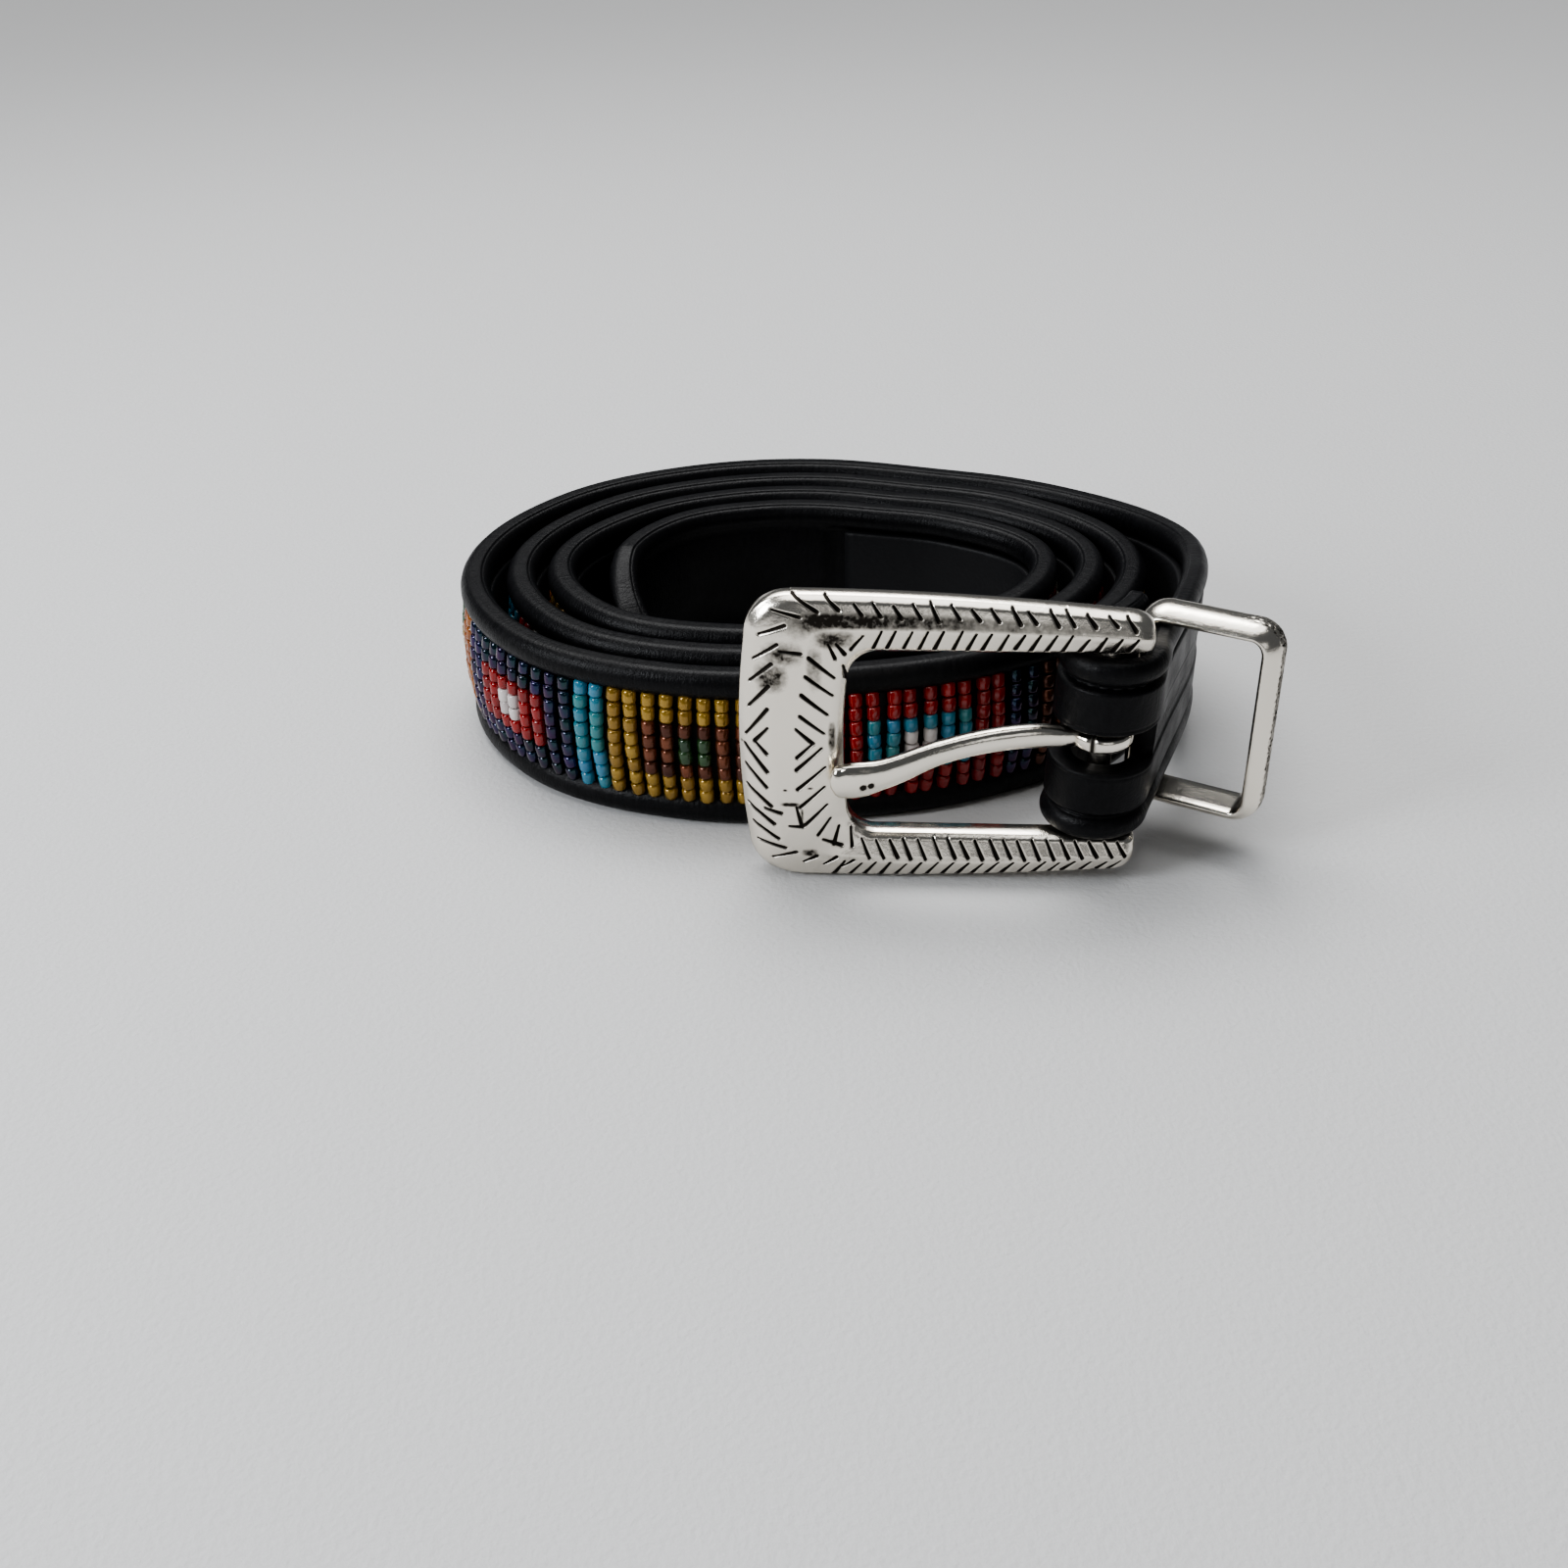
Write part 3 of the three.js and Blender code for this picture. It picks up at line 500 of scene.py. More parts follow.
lining_calf, tree, shader = make_material("lining_calf", (0.01, 0.01, 0.011), 0.5)
shader.inputs["Specular IOR Level"].default_value = 0.2
place = add_node(tree, "ShaderNodeUVMap", uv_map="UVMap").outputs["UV"]
grain = add_node(tree, "ShaderNodeTexNoise", {"Vector": place, "Scale": 1500.0, "Detail": 4.0}).outputs["Fac"]
bump = add_node(tree, "ShaderNodeBump", {"Height": grain, "Strength": 0.4, "Distance": 0.0002})
tree.links.new(bump.outputs[0], shader.inputs["Normal"])
lining = add_mesh("lining_band", points, [loop_faces(len(lining_travel), 24), ends], lining_calf, "belt", uv)
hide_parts("strap_lining")

# Beads
# Glass seed beads, eight to a column, each column threaded across the strap over a soft core and
# sewn down at both rolled edges. Twelve columns make a motif: two of a plain colour, then ten of
# a field with an inner block and a centre.
BEAD_PITCH = 2.345
BEAD_LENGTH = 1.91
BEAD_RADIUS = 0.93
BEADS_PER_COLUMN = 8
CROWN_DROP = 0.62
CROWN_HALF = 7.0
PAIR_BEARING = 224.925
PAIR_MOTIF = 7
MOTIFS = [
    ("n", "r", "t", "w"), ("c", "g", "c", "e"), ("t", "n", "r", "w"), ("g", "c", "t", "g"),
    ("y", "b", "g", "r"), ("n", "e", "g", "o"), ("o", "n", "r", "w"), ("t", "g", "c", "e"),
    ("e", "r", "t", "w"), ("n", "c", "t", "g"), ("g", "e", "g", "o"), ("t", "n", "r", "w"),
    ("o", "g", "c", "e"), ("", "r", "t", "w"), ("n", "b", "g", "r"), ("r", "y", "n", "r"),
    ("t", "g", "c", "e"), ("o", "n", "r", "w"), ("t", "r", "t", "w"), ("n", "c", "t", "g"),
    ("g", "e", "g", "o"), ("t", "n", "r", "w"), ("o", "g", "c", "e"), ("e", "r", "t", "w"),
    ("n", "b", "g", "r"), ("r", "y", "n", "r"), ("t", "g", "c", "e"), ("o", "n", "r", "w"),
]
STRIPED = 5
chart = []
pair_column = 0
for number, (plain, field, inner, centre) in enumerate(MOTIFS):
    if number == PAIR_MOTIF:
        pair_column = len(chart) + 1
    chart += [plain * 8] * (2 if plain else 0)
    bars = 2 * field + 4 * inner + 2 * field
    core = 2 * field + inner + 2 * centre + inner + 2 * field
    edge = bars if number == STRIPED else 8 * field
    chart += [edge] * 2 + [bars] * 2 + [core] * 2 + [bars] * 2 + [edge] * 2
column_travel = travel_at(PAIR_BEARING) + (np.arange(len(chart)) - pair_column + 0.5) * BEAD_PITCH
shown = (column_travel > bead_start + 1) & (column_travel < billet_start - 1.4)
rng = np.random.default_rng(11)
bead_letters = np.array([list(column) for column, show in zip(chart, shown) if show])
count = bead_letters.shape[0]
column_lean = rng.normal(0, 0.16, (count, 1))
column_slip = np.cumsum(rng.normal(0, 0.05, (count, BEADS_PER_COLUMN)), axis=1)
bead_up = (BEADS_PER_COLUMN / 2 - 0.5 - np.arange(BEADS_PER_COLUMN))[None, :] * BEAD_LENGTH
column_slip = column_slip - column_slip.mean(axis=1, keepdims=True)
bead_travel = column_travel[shown][:, None] + column_lean * bead_up / 7.7 + column_slip
bead_up = np.broadcast_to(bead_up, bead_travel.shape) + rng.normal(0, 0.05, bead_travel.shape)
bead_out = BEAD_OUTER - BEAD_RADIUS - 0.06 - CROWN_DROP * np.abs(bead_up / CROWN_HALF) ** 2.2
bead_out = bead_out + rng.normal(0, 0.03, bead_travel.shape)
bead_tilt = 2 * CROWN_DROP * 1.1 / CROWN_HALF * np.sign(bead_up) * np.abs(bead_up / CROWN_HALF) ** 1.2
BEAD_RING = np.array([(0.36, 0.9), (0.82, 0.99), (1.0, 0.66), (1.0, -0.66), (0.82, -0.99), (0.36, -0.9)])
BEAD_SIDES = 10
turns = 2 * np.pi * np.arange(BEAD_SIDES) / BEAD_SIDES
RING_POINTS = len(BEAD_RING)
side, ring = np.meshgrid(np.arange(BEAD_SIDES), np.arange(RING_POINTS), indexing="ij")
next_side, next_ring = (side + 1) % BEAD_SIDES, (ring + 1) % RING_POINTS
corners = ((side, ring), (side, next_ring), (next_side, next_ring), (next_side, ring))
bead_faces = np.stack([across * RING_POINTS + along_ring for across, along_ring in corners], axis=-1).reshape(-1, 4)


def string_beads(name, chosen, material, rides="belt"):
    """The chosen beads as one mesh: a small barrel with a hole, turned so that its hole follows the
    column over the crown. Each bead's own tone is stored on it."""
    travel, up, out, tilt = (a[chosen] for a in (bead_travel, bead_up, bead_out, bead_tilt))
    number = len(travel)
    place, normal, _ = strap_frame(travel)
    normal = np.concatenate([normal, np.zeros((number, 1))], axis=1)
    forward = np.stack([-normal[:, 1], normal[:, 0], np.zeros(number)], axis=1)
    axis = np.array([0, 0, 1.0]) - normal * (tilt + rng.normal(0, 0.03, number))[:, None]
    axis = axis + forward * rng.normal(0, 0.05, number)[:, None]
    axis /= np.linalg.norm(axis, axis=1, keepdims=True)
    side = np.cross(axis, forward)
    side /= np.linalg.norm(side, axis=1, keepdims=True)
    ahead = np.cross(side, axis)
    spin = rng.uniform(0, 2 * np.pi, number)[:, None] + turns[None, :]
    wide = BEAD_RADIUS * rng.normal(1.0, 0.025, (number, 1, 1))
    long = BEAD_LENGTH / 2 * rng.normal(0.985, 0.03, (number, 1, 1))
    around = side[:, None, :] * np.cos(spin)[..., None] + ahead[:, None, :] * np.sin(spin)[..., None]
    points = (
        on_strap(travel, out, up)[:, None, None, :]
        + around[:, :, None, :] * (BEAD_RING[:, 0] * wide)[:, :, :, None]
        + axis[:, None, None, :] * (BEAD_RING[:, 1] * long)[:, :, :, None]
    )
    per_bead = BEAD_SIDES * RING_POINTS
    faces = (bead_faces[None] + np.arange(number)[:, None, None] * per_bead).reshape(-1, 4)
    tone = np.repeat(rng.uniform(0, 1, number), per_bead)
    beads = add_mesh(name, points, [faces], material, rides, np.stack([tone, tone], axis=1))
    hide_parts("bead_band")
    return beads


def glass(name, low, *tones, roughness=0.12, metallic=0.0, transmission=0.0, coat=0.3, film=0.0):
    """Bead glass whose colour runs from low through the other tones by the bead's own tone, with a
    thin bright film where a thickness in nanometres is given."""
    material, tree, shader = make_material(name, low, roughness, metallic, coat)
    tone = add_node(tree, "ShaderNodeUVMap", uv_map="UVMap").outputs["UV"]
    shade = add_node(tree, "ShaderNodeSeparateXYZ", {"Vector": tone}).outputs["X"]
    colours = (low, *tones)
    stops = [(number / (len(colours) - 1), colour) for number, colour in enumerate(colours)]
    tree.links.new(ramp(tree, shade, stops), shader.inputs["Base Color"])
    shader.inputs["Transmission Weight"].default_value = transmission
    shader.inputs["Coat Roughness"].default_value = 0.04
    shader.inputs["IOR"].default_value = 1.52
    if film:
        shader.inputs["Thin Film Thickness"].default_value = film
        shader.inputs["Thin Film IOR"].default_value = 1.7
    return material


GLASS = {
    "g": ("beads_gold", glass(
        "gold_glass", (0.27, 0.15, 0.018), (0.42, 0.26, 0.04), roughness=0.16, metallic=0.35, coat=0.3, transmission=0.2,
    )),
    "c": ("beads_copper", glass(
        "copper_glass", (0.06, 0.016, 0.007), (0.17, 0.05, 0.02), roughness=0.25, metallic=0.6,
    )),
    "e": ("beads_green", glass(
        "green_glass", (0.012, 0.045, 0.014), (0.03, 0.08, 0.02), roughness=0.15, metallic=0.1, transmission=0.2,
    )),
    "t": ("beads_turquoise", glass("turquoise_glass", (0.03, 0.2, 0.21), (0.04, 0.2, 0.34))),
    "b": ("beads_teal_blue", glass("teal_blue_glass", (0.015, 0.09, 0.15), (0.025, 0.14, 0.2))),
    "n": ("beads_navy", glass(
        "navy_glass", (0.004, 0.006, 0.035), (0.012, 0.004, 0.035), (0.002, 0.022, 0.028),
        (0.006, 0.008, 0.06), (0.0, 0.016, 0.014), metallic=0.5, film=520.0,
    )),
    "r": ("beads_red", glass("red_glass", (0.19, 0.001, 0.001), (0.3, 0.003, 0.002))),
    "w": ("beads_white", glass("white_glass", (0.52, 0.47, 0.46), (0.66, 0.62, 0.6))),
    "o": ("beads_orange", glass("orange_glass", (0.2, 0.05, 0.008), (0.3, 0.1, 0.02))),
    "y": ("beads_grey", glass("grey_glass", (0.2, 0.19, 0.16), (0.3, 0.28, 0.24), transmission=0.3)),
}
for letter, (name, material) in GLASS.items():
    string_beads(name, bead_letters == letter, material)


# Bead threads
# At both ends of every column the thread comes out of the last bead and goes down into the leather
# beside the rolled edge.
COLUMN_END = 7.55
THREAD_RADIUS = 0.13
thread_path = np.array([(COLUMN_END, 1.18), (7.86, 1.12), (8.06, 0.86), (8.1, 0.5)])
count = len(column_travel[shown])
ends_travel = np.repeat(column_travel[shown] + rng.normal(0, 0.12, count), 2)
ends_side = np.tile([1.0, -1.0], count)
spin = 2 * np.pi * np.arange(4) / 4
s = ends_travel[:, None, None] + THREAD_RADIUS * np.cos(spin)[None, None, :] + 0 * thread_path[None, :, :1]
away = THREAD_RADIUS * np.sin(spin)[None, :]
up = (thread_path[:, :1] + away * 0.6) * np.ones((4, 4))
out = (thread_path[:, 1:] + away * 0.8) * np.ones((4, 4))
points = on_strap(s, np.broadcast_to(out, s.shape), ends_side[:, None, None] * up)
one = loop_faces(4, 4)
faces = (one[None] + 16 * np.arange(2 * count)[:, None, None]).reshape(-1, 4)
caps = np.stack([np.arange(4), 12 + np.arange(4)])
caps = (caps[None] + 16 * np.arange(2 * count)[:, None, None]).reshape(-1, 4)
bead_thread, tree, shader = make_material("bead_thread", (0.1, 0.09, 0.075), 0.6)
threads = add_mesh("bead_threads", points, [np.concatenate([faces, caps])], bead_thread, "belt")
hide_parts("bead_band")

# Buckle frame
# Cast silver, bevelled like a roof along both arms and flat along the far bar, engraved with rows of
# slanted cuts that have gone dark. Its own axes run from the bar to the far end, up, and outwards.
WINDOW_HALF = 12.3
FRAME_REACH = 41.8
FRAME_TAIL = 4.8
ARM_END_WIDTH = 4.8
ARM_FAR_WIDTH = 6.2
ARM_SWELL = 0.6
UPPER_EXTRA = 0.6
WINDOW_END = 29.9
END_BOW = 0.9
OUTER_CORNER = 5.4
INNER_CORNER = 3.7
FRAME_THICKNESS = 4.1
FRAME_BACK = 0.41
BUCKLE_YAW = math.radians(4.4)
BAR_RADIUS = 1.4
TAIL_SHARE = 0.62
FAR_TOP = WINDOW_HALF + ARM_FAR_WIDTH
bar_plan = FOLD_PLACE - along * BAR_PULL + COIL_CENTRE[:2]


def in_buckle(reach, up, out):
    """Points of the buckle's own axes in the belt's frame."""
    reach, up, out = np.broadcast_arrays(reach, up, out)
    x = bar_plan[0] - reach * math.cos(BUCKLE_YAW) - out * math.sin(BUCKLE_YAW)
    y = bar_plan[1] + reach * math.sin(BUCKLE_YAW) - out * math.cos(BUCKLE_YAW)
    return np.stack([x, y, BAR_HEIGHT + up], axis=-1)


def arm_top(reach):
    share = reach / FRAME_REACH
    return WINDOW_HALF + ARM_END_WIDTH + (ARM_FAR_WIDTH - ARM_END_WIDTH) * share + 4 * ARM_SWELL * share * (1 - share)


# Outer and inner outline of the upper half, matched point for point: arm, corner, half of the bar.
t = np.linspace(0, 1, 300, endpoint=False)
outer_reach = -FRAME_TAIL + (FRAME_REACH - OUTER_CORNER + FRAME_TAIL) * t
tail = np.clip((outer_reach + FRAME_TAIL) / 2.6, 0, 1)
tail_round = np.sqrt(np.clip(1 - (1 - tail) ** 2, 0, 1))
tail_wide = TAIL_SHARE + (1 - TAIL_SHARE) * tail_round
arm_outer = np.stack([outer_reach, WINDOW_HALF + (arm_top(outer_reach) - WINDOW_HALF) * tail_wide], axis=1)
inner_reach = -FRAME_TAIL + (WINDOW_END - INNER_CORNER + FRAME_TAIL) * t
arm_inner = np.stack([inner_reach, WINDOW_HALF + 0.5 * (1 - tail_round)], axis=1)
t = np.linspace(0, math.pi / 2, 64, endpoint=False)
back, down = 1 - np.sin(t), 1 - np.cos(t)
corner_outer = np.stack([FRAME_REACH - OUTER_CORNER * back, FAR_TOP - OUTER_CORNER * down], axis=1)
corner_inner = np.stack([WINDOW_END - INNER_CORNER * back, WINDOW_HALF - INNER_CORNER * down], axis=1)
t = np.linspace(0, 1, 101)
bow = END_BOW * (1 - (1 - t) ** 2)
bar_outer = np.stack([FRAME_REACH + bow, (FAR_TOP - OUTER_CORNER) * (1 - t)], axis=1)
bar_inner = np.stack([WINDOW_END + bow / 2, (WINDOW_HALF - INNER_CORNER) * (1 - t)], axis=1)
flat_share = np.concatenate([np.zeros(300), smooth_in(np.linspace(0, 1, 64)), np.ones(101)])
outline_outer = np.vstack([arm_outer, corner_outer, bar_outer])
outline_inner = np.vstack([arm_inner, corner_inner, bar_inner])
tail_share = np.concatenate([tail_round, np.ones(165)])
flip = np.array([1.0, -1.0])
outline_outer = np.vstack([outline_outer, outline_outer[-2::-1] * flip])
outline_inner = np.vstack([outline_inner, outline_inner[-2::-1] * flip])
upper = np.clip(outline_outer[:, 0] / FRAME_REACH, 0, 1) * np.clip(outline_outer[:, 1] / 14, 0, 1)
outline_outer[:, 1] += UPPER_EXTRA * upper
flat_share = np.concatenate([flat_share, flat_share[-2::-1]])[:, None]
tail_share = np.concatenate([tail_share, tail_share[-2::-1]])[:, None]

# Height across the front, from the outer edge to the inner one: a roof, or a low plateau.
across = np.concatenate([[0, 0.012, 0.03], np.linspace(0.05, 0.95, 76), [0.97, 0.988, 1]])
fine_across = np.linspace(-0.1, 1.1, 601)
kernel = np.exp(-((np.arange(-40, 41) / 16.0) ** 2))
kernel /= kernel.sum()


def profile(places, heights):
    """Height across the front through given places, smoothed by a narrow bell."""
    sharp = np.interp(fine_across, places, heights)
    smooth = np.convolve(np.pad(sharp, 40, mode="edge"), kernel, mode="valid")
    return np.interp(across, fine_across, smooth)


roof = profile([0, 0.05, 0.1, 0.45, 0.55, 0.9, 0.95, 1], [0.5, 0.68, 0.76, 1.0, 1.0, 0.84, 0.78, 0.64])
plateau = profile(
    [0, 0.04, 0.1, 0.24, 0.34, 0.62, 0.72, 0.88, 0.96, 1],
    [0.46, 0.68, 0.82, 0.95, 1.0, 1.0, 0.98, 0.9, 0.8, 0.66],
)
low_roof = profile([0, 0.05, 0.1, 0.42, 0.55, 0.9, 0.95, 1], [0.58, 0.8, 0.87, 1.0, 1.0, 0.84, 0.78, 0.64])
arm_roof = np.where(outline_outer[:, 1:] > 0, roof, low_roof)
rise = arm_roof * (1 - flat_share) + plateau * flat_share
thinned = TAIL_SHARE + (1 - TAIL_SHARE) * tail_share
rise = rise * thinned
front = outline_outer[:, None, :] * (1 - across)[None, :, None] + outline_inner[:, None, :] * across[None, :, None]
front_out = FRAME_THICKNESS * rise - FRAME_BACK

# Cuts: each runs from its thin end to its wide end, by reach and height.
cuts = [
    (40.6, 11.5, 37.8, 13.5), (41.1, 8.6, 38.5, 11.0), (41.3, 5.3, 38.9, 8.1), (41.8, 1.4, 39.1, 5.1),
    (39.9, 14.6, 36.9, 15.8), (38.4, 17.5, 35.2, 16.8), (36.3, 19.2, 33.2, 17.4), (32.4, 19.0, 30.8, 17.6),
    (39.1, 2.6, 40.7, 0.7), (40.7, 0.7, 39.3, -0.9), (41.9, 0.1, 39.3, -3.4), (41.9, -2.6, 39.4, -5.6),
    (41.8, -5.5, 38.9, -8.2), (41.7, -8.2, 38.6, -10.7), (41.2, -10.7, 38.1, -12.8), (40.7, -13.2, 37.3, -14.1),
    (38.9, -15.7, 36.0, -14.7), (35.1, -16.1, 33.5, -15.2), (39.7, -8.5, 37.7, -9.1), (31.3, 9.2, 34.2, 11.9),
    (31.5, 6.9, 34.6, 9.5), (32.1, 4.4, 35.1, 7.1), (32.5, 1.9, 35.3, 4.3), (35.8, 2.6, 33.8, 0.6),
    (33.8, 0.6, 35.7, -1.3), (32.8, -0.1, 35.8, -3.0), (32.4, -2.7, 35.7, -5.7), (32.5, -5.4, 35.4, -8.2),
    (32.2, -7.9, 34.9, -10.8), (31.8, -9.8, 33.3, -12.2), (30.8, -11.0, 31.4, -13.5), (29.4, -11.3, 29.2, -13.9),
    (28.0, 14.7, 29.4, 12.8), (32.0, 13.6, 31.2, 11.7), (31.1, 13.6, 30.1, 12.2), (35.9, -8.2, 35.3, -10.7),
    (36.8, -10.9, 35.1, -11.0), (32.7, -12.8, 30.5, -13.7), (30.3, 10.7, 29.9, 8.9), (37.6, 12.7, 35.1, 12.4),
    (32.6, -16.4, 31.1, -15.3), (30.4, -16.8, 29.0, -15.7),
]
# Rows along the arms: first and last reach, pitch, lean, then the share across at the thin and wide end.
ROWS = [
    (1, 28.6, -3.2, 2.18, 0.95, 0.04, 0.28), (1, 26.6, -3.6, 1.8, -0.95, 0.5, 0.9),
    (-1, 27.6, -3.4, 1.72, 1.0, 0.9, 0.5), (-1, 30.6, -3.2, 1.85, -1.4, 0.4, 0.07),
]
for side, first, last, pitch, lean, start, end in ROWS:
    for reach in np.arange(first, last, -pitch):
        reach += rng.normal(0, 0.09)
        width = arm_top(reach) - WINDOW_HALF
        low, high = (WINDOW_HALF + width * (1 - place + rng.normal(0, 0.018)) for place in (start, end))
        cuts.append((reach + lean / 2, side * low, reach - lean / 2, side * high))
cut = np.zeros(front_out.shape)
for number, (r0, u0, r1, u1) in enumerate(cuts):
    wide = 0.33 * rng.uniform(0.85, 1.15)
    length = math.hypot(r1 - r0, u1 - u0)
    dr, du = (r1 - r0) / length, (u1 - u0) / length
    s = (front[..., 0] - r0) * dr + (front[..., 1] - u0) * du
    d = np.abs((front[..., 0] - r0) * du - (front[..., 1] - u0) * dr)
    beyond = np.maximum(np.maximum(-s, s - length), 0)
    here = wide * (0.6 + 0.4 * smooth_in(s / length))
    cut = np.maximum(cut, 1 - np.hypot(d, beyond) / here)
cut = np.clip(cut, 0, 1)
front_out = front_out - 0.4 * smooth_in(cut)

# Tarnish: soft patches by reach and height, their half lengths and strength. Then painted dark
# reflection: a band on the ridge of the upper arm, and a weaker one along the middle of the lower arm.
PATCHES = [
    (38.6, 9.3, 2.0, 2.0, 1.0), (37.2, 12.3, 2.6, 1.7, 0.85), (33.6, 10.6, 1.1, 3.4, 0.7), (31.4, 14.2, 2.6, 1.3, 0.95),
    (34.3, -14.7, 1.0, 0.6, 1.1), (36.6, -7.8, 1.3, 0.32, 1.2), (35.2, -9.4, 0.2, 1.4, 0.9), (31.6, 1.3, 0.5, 2.2, 1.0),
    (37.2, -5.8, 0.3, 0.2, 1.1), (34.2, -5.5, 0.4, 0.2, 0.9), (42.3, 0.2, 0.25, 0.25, 1.0), (38.3, 15.3, 0.3, 0.25, 0.9),
]
tarnish_and_painted_reflection = np.zeros(front_out.shape)
for r0, u0, wide, tall, strength in PATCHES:
    away = np.abs((front[..., 0] - r0) / wide) ** 3 + np.abs((front[..., 1] - u0) / tall) ** 3
    tarnish_and_painted_reflection = np.maximum(tarnish_and_painted_reflection, strength * np.exp(-away))
# Painted dark reflection: a dark band along the upper arm's ridge, stronger towards the far bar, kept in the tarnish
# mask.
band = np.exp(-(((across[None, :] - 0.38) / 0.15) ** 4)) * (front[..., 1] > WINDOW_HALF - 2) * (1 - flat_share)
tarnish_and_painted_reflection = np.maximum(tarnish_and_painted_reflection, band * np.interp(front[..., 0], [-3, 6, 14, 24, 31], [0.42, 0.6, 0.72, 0.95, 1.05]))
# A weaker painted dark reflection along the middle of the lower arm.
low_band = np.exp(-(((across[None, :] - 0.5) / 0.07) ** 4)) * (front[..., 1] < 2 - WINDOW_HALF) * (1 - flat_share)
tarnish_and_painted_reflection = np.maximum(tarnish_and_painted_reflection, 0.4 * low_band)

wall = [(1.0, 0.36), (1.0, 0.12), (0.965, 0.02), (0.9, 0), (0.5, 0), (0.1, 0), (0.035, 0.02), (0, 0.12), (0, 0.3)]
wall_across = np.array([w for w, _ in wall])
wall_rise = np.array([h for _, h in wall])
behind = outline_outer[:, None, :] * (1 - wall_across)[None, :, None]
behind = behind + outline_inner[:, None, :] * wall_across[None, :, None]
behind_out = FRAME_THICKNESS * wall_rise[None, :] * thinned - FRAME_BACK
plan = np.concatenate([front, behind], axis=1)
outs = np.hstack([front_out, behind_out])
points = in_buckle(plan[..., 0], plan[..., 1], outs)
plain = np.zeros(behind_out.shape)
# The UV map carries the cuts, then the tarnish together with the painted dark reflection on the arms.
uv = np.stack([np.hstack([cut, plain]), np.hstack([tarnish_and_painted_reflection, plain])], axis=-1).reshape(-1, 2)
rows, columns = outs.shape
ends = np.array([np.arange(columns), np.arange(columns) + (rows - 1) * columns])


BRIGHT_SILVER = (0.86, 0.81, 0.72)


def silver(name, roughness=0.2, dark=(0.03, 0.026, 0.022), patina_and_painted_reflection=True):
    """Worn silver, darkened by the piece's own mask in its cuts and patches, and on the buckle also in a painted dark
    reflection along the arms, with fine scratches.
    """
    material, tree, shader = make_material(name, BRIGHT_SILVER, roughness, 1.0)
    place = add_node(tree, "ShaderNodeTexCoord").outputs["Object"]
    clouds = {"Vector": place, "Scale": 560.0, "Detail": 6.0, "Roughness": 0.7}
    cloudy = add_node(tree, "ShaderNodeTexNoise", clouds).outputs["Fac"]
    speck = add_node(tree, "ShaderNodeTexNoise", {"Vector": place, "Scale": 1700.0, "Detail": 3.0}).outputs["Fac"]
    stroke = {"Vector": place, "Rotation": (0.2, 0.5, 0.6), "Scale": (60.0, 1400.0, 900.0)}
    drawn = add_node(tree, "ShaderNodeMapping", stroke).outputs[0]
    scratch = add_node(tree, "ShaderNodeTexNoise", {"Vector": drawn, "Scale": 1.0, "Detail": 3.0}).outputs["Fac"]
    bump = add_node(tree, "ShaderNodeBump", {"Height": scratch, "Strength": 0.09, "Distance": 0.0001}).outputs[0]
    dent = add_node(tree, "ShaderNodeBump", {"Height": cloudy, "Strength": 0.16, "Distance": 0.0004, "Normal": bump})
    tree.links.new(dent.outputs[0], shader.inputs["Normal"])
    mask = 0.0
    if patina_and_painted_reflection:
        both = add_node(tree, "ShaderNodeUVMap", uv_map="UVMap").outputs["UV"]
        parts = add_node(tree, "ShaderNodeSeparateXYZ", {"Vector": both})
        line = ramp(tree, parts.outputs["X"], [(0.1, 0.0), (0.36, 1.0)])
        grainy = add_node(tree, "ShaderNodeMath", {0: cloudy, 1: speck}, operation="ADD").outputs[0]
        patch = add_node(tree, "ShaderNodeMath", {0: parts.outputs["Y"], 1: grainy}, operation="MULTIPLY").outputs[0]
        # The second mask holds tarnish, and on the buckle also the painted dark reflection along the arms.
        worn_and_painted_reflection = ramp(tree, patch, [(0.3, 0.0), (1.05, 1.0)])
        mask = add_node(tree, "ShaderNodeMath", {0: line, 1: worn_and_painted_reflection}, operation="MAXIMUM").outputs[0]
        tones = {"Factor": mask, 6: (*BRIGHT_SILVER, 1), 7: (*dark, 1)}
        mixed = add_node(tree, "ShaderNodeMix", tones, data_type="RGBA")
        tree.links.new(mixed.outputs[2], shader.inputs["Base Color"])
        rough = add_node(tree, "ShaderNodeMapRange", {"Value": mask, "To Min": roughness, "To Max": 0.55})
        tree.links.new(rough.outputs[0], shader.inputs["Roughness"])
    return material


engraved = silver("engraved_silver")
buckle = add_mesh("buckle_cast", points, [loop_faces(rows, columns), ends], engraved, "buckle", uv)
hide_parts("buckle_frame")

spin = 2 * np.pi * np.arange(28) / 28
bar_up = np.array([-13.6, -13.5, -6, 0, 6, 13.5, 13.6])
bar_wide = BAR_RADIUS * np.array([0.93, 1, 1, 1, 1, 1, 0.93])
points = in_buckle(bar_wide[:, None] * np.cos(spin), bar_up[:, None], bar_wide[:, None] * np.sin(spin))
ends = np.array([np.arange(28), np.arange(28) + 6 * 28])
bare = silver("bare_silver", 0.22, patina_and_painted_reflection=False)
hinge = add_mesh("buckle_bar", points, [loop_faces(7, 28), ends], bare, "buckle")
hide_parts("buckle_frame")

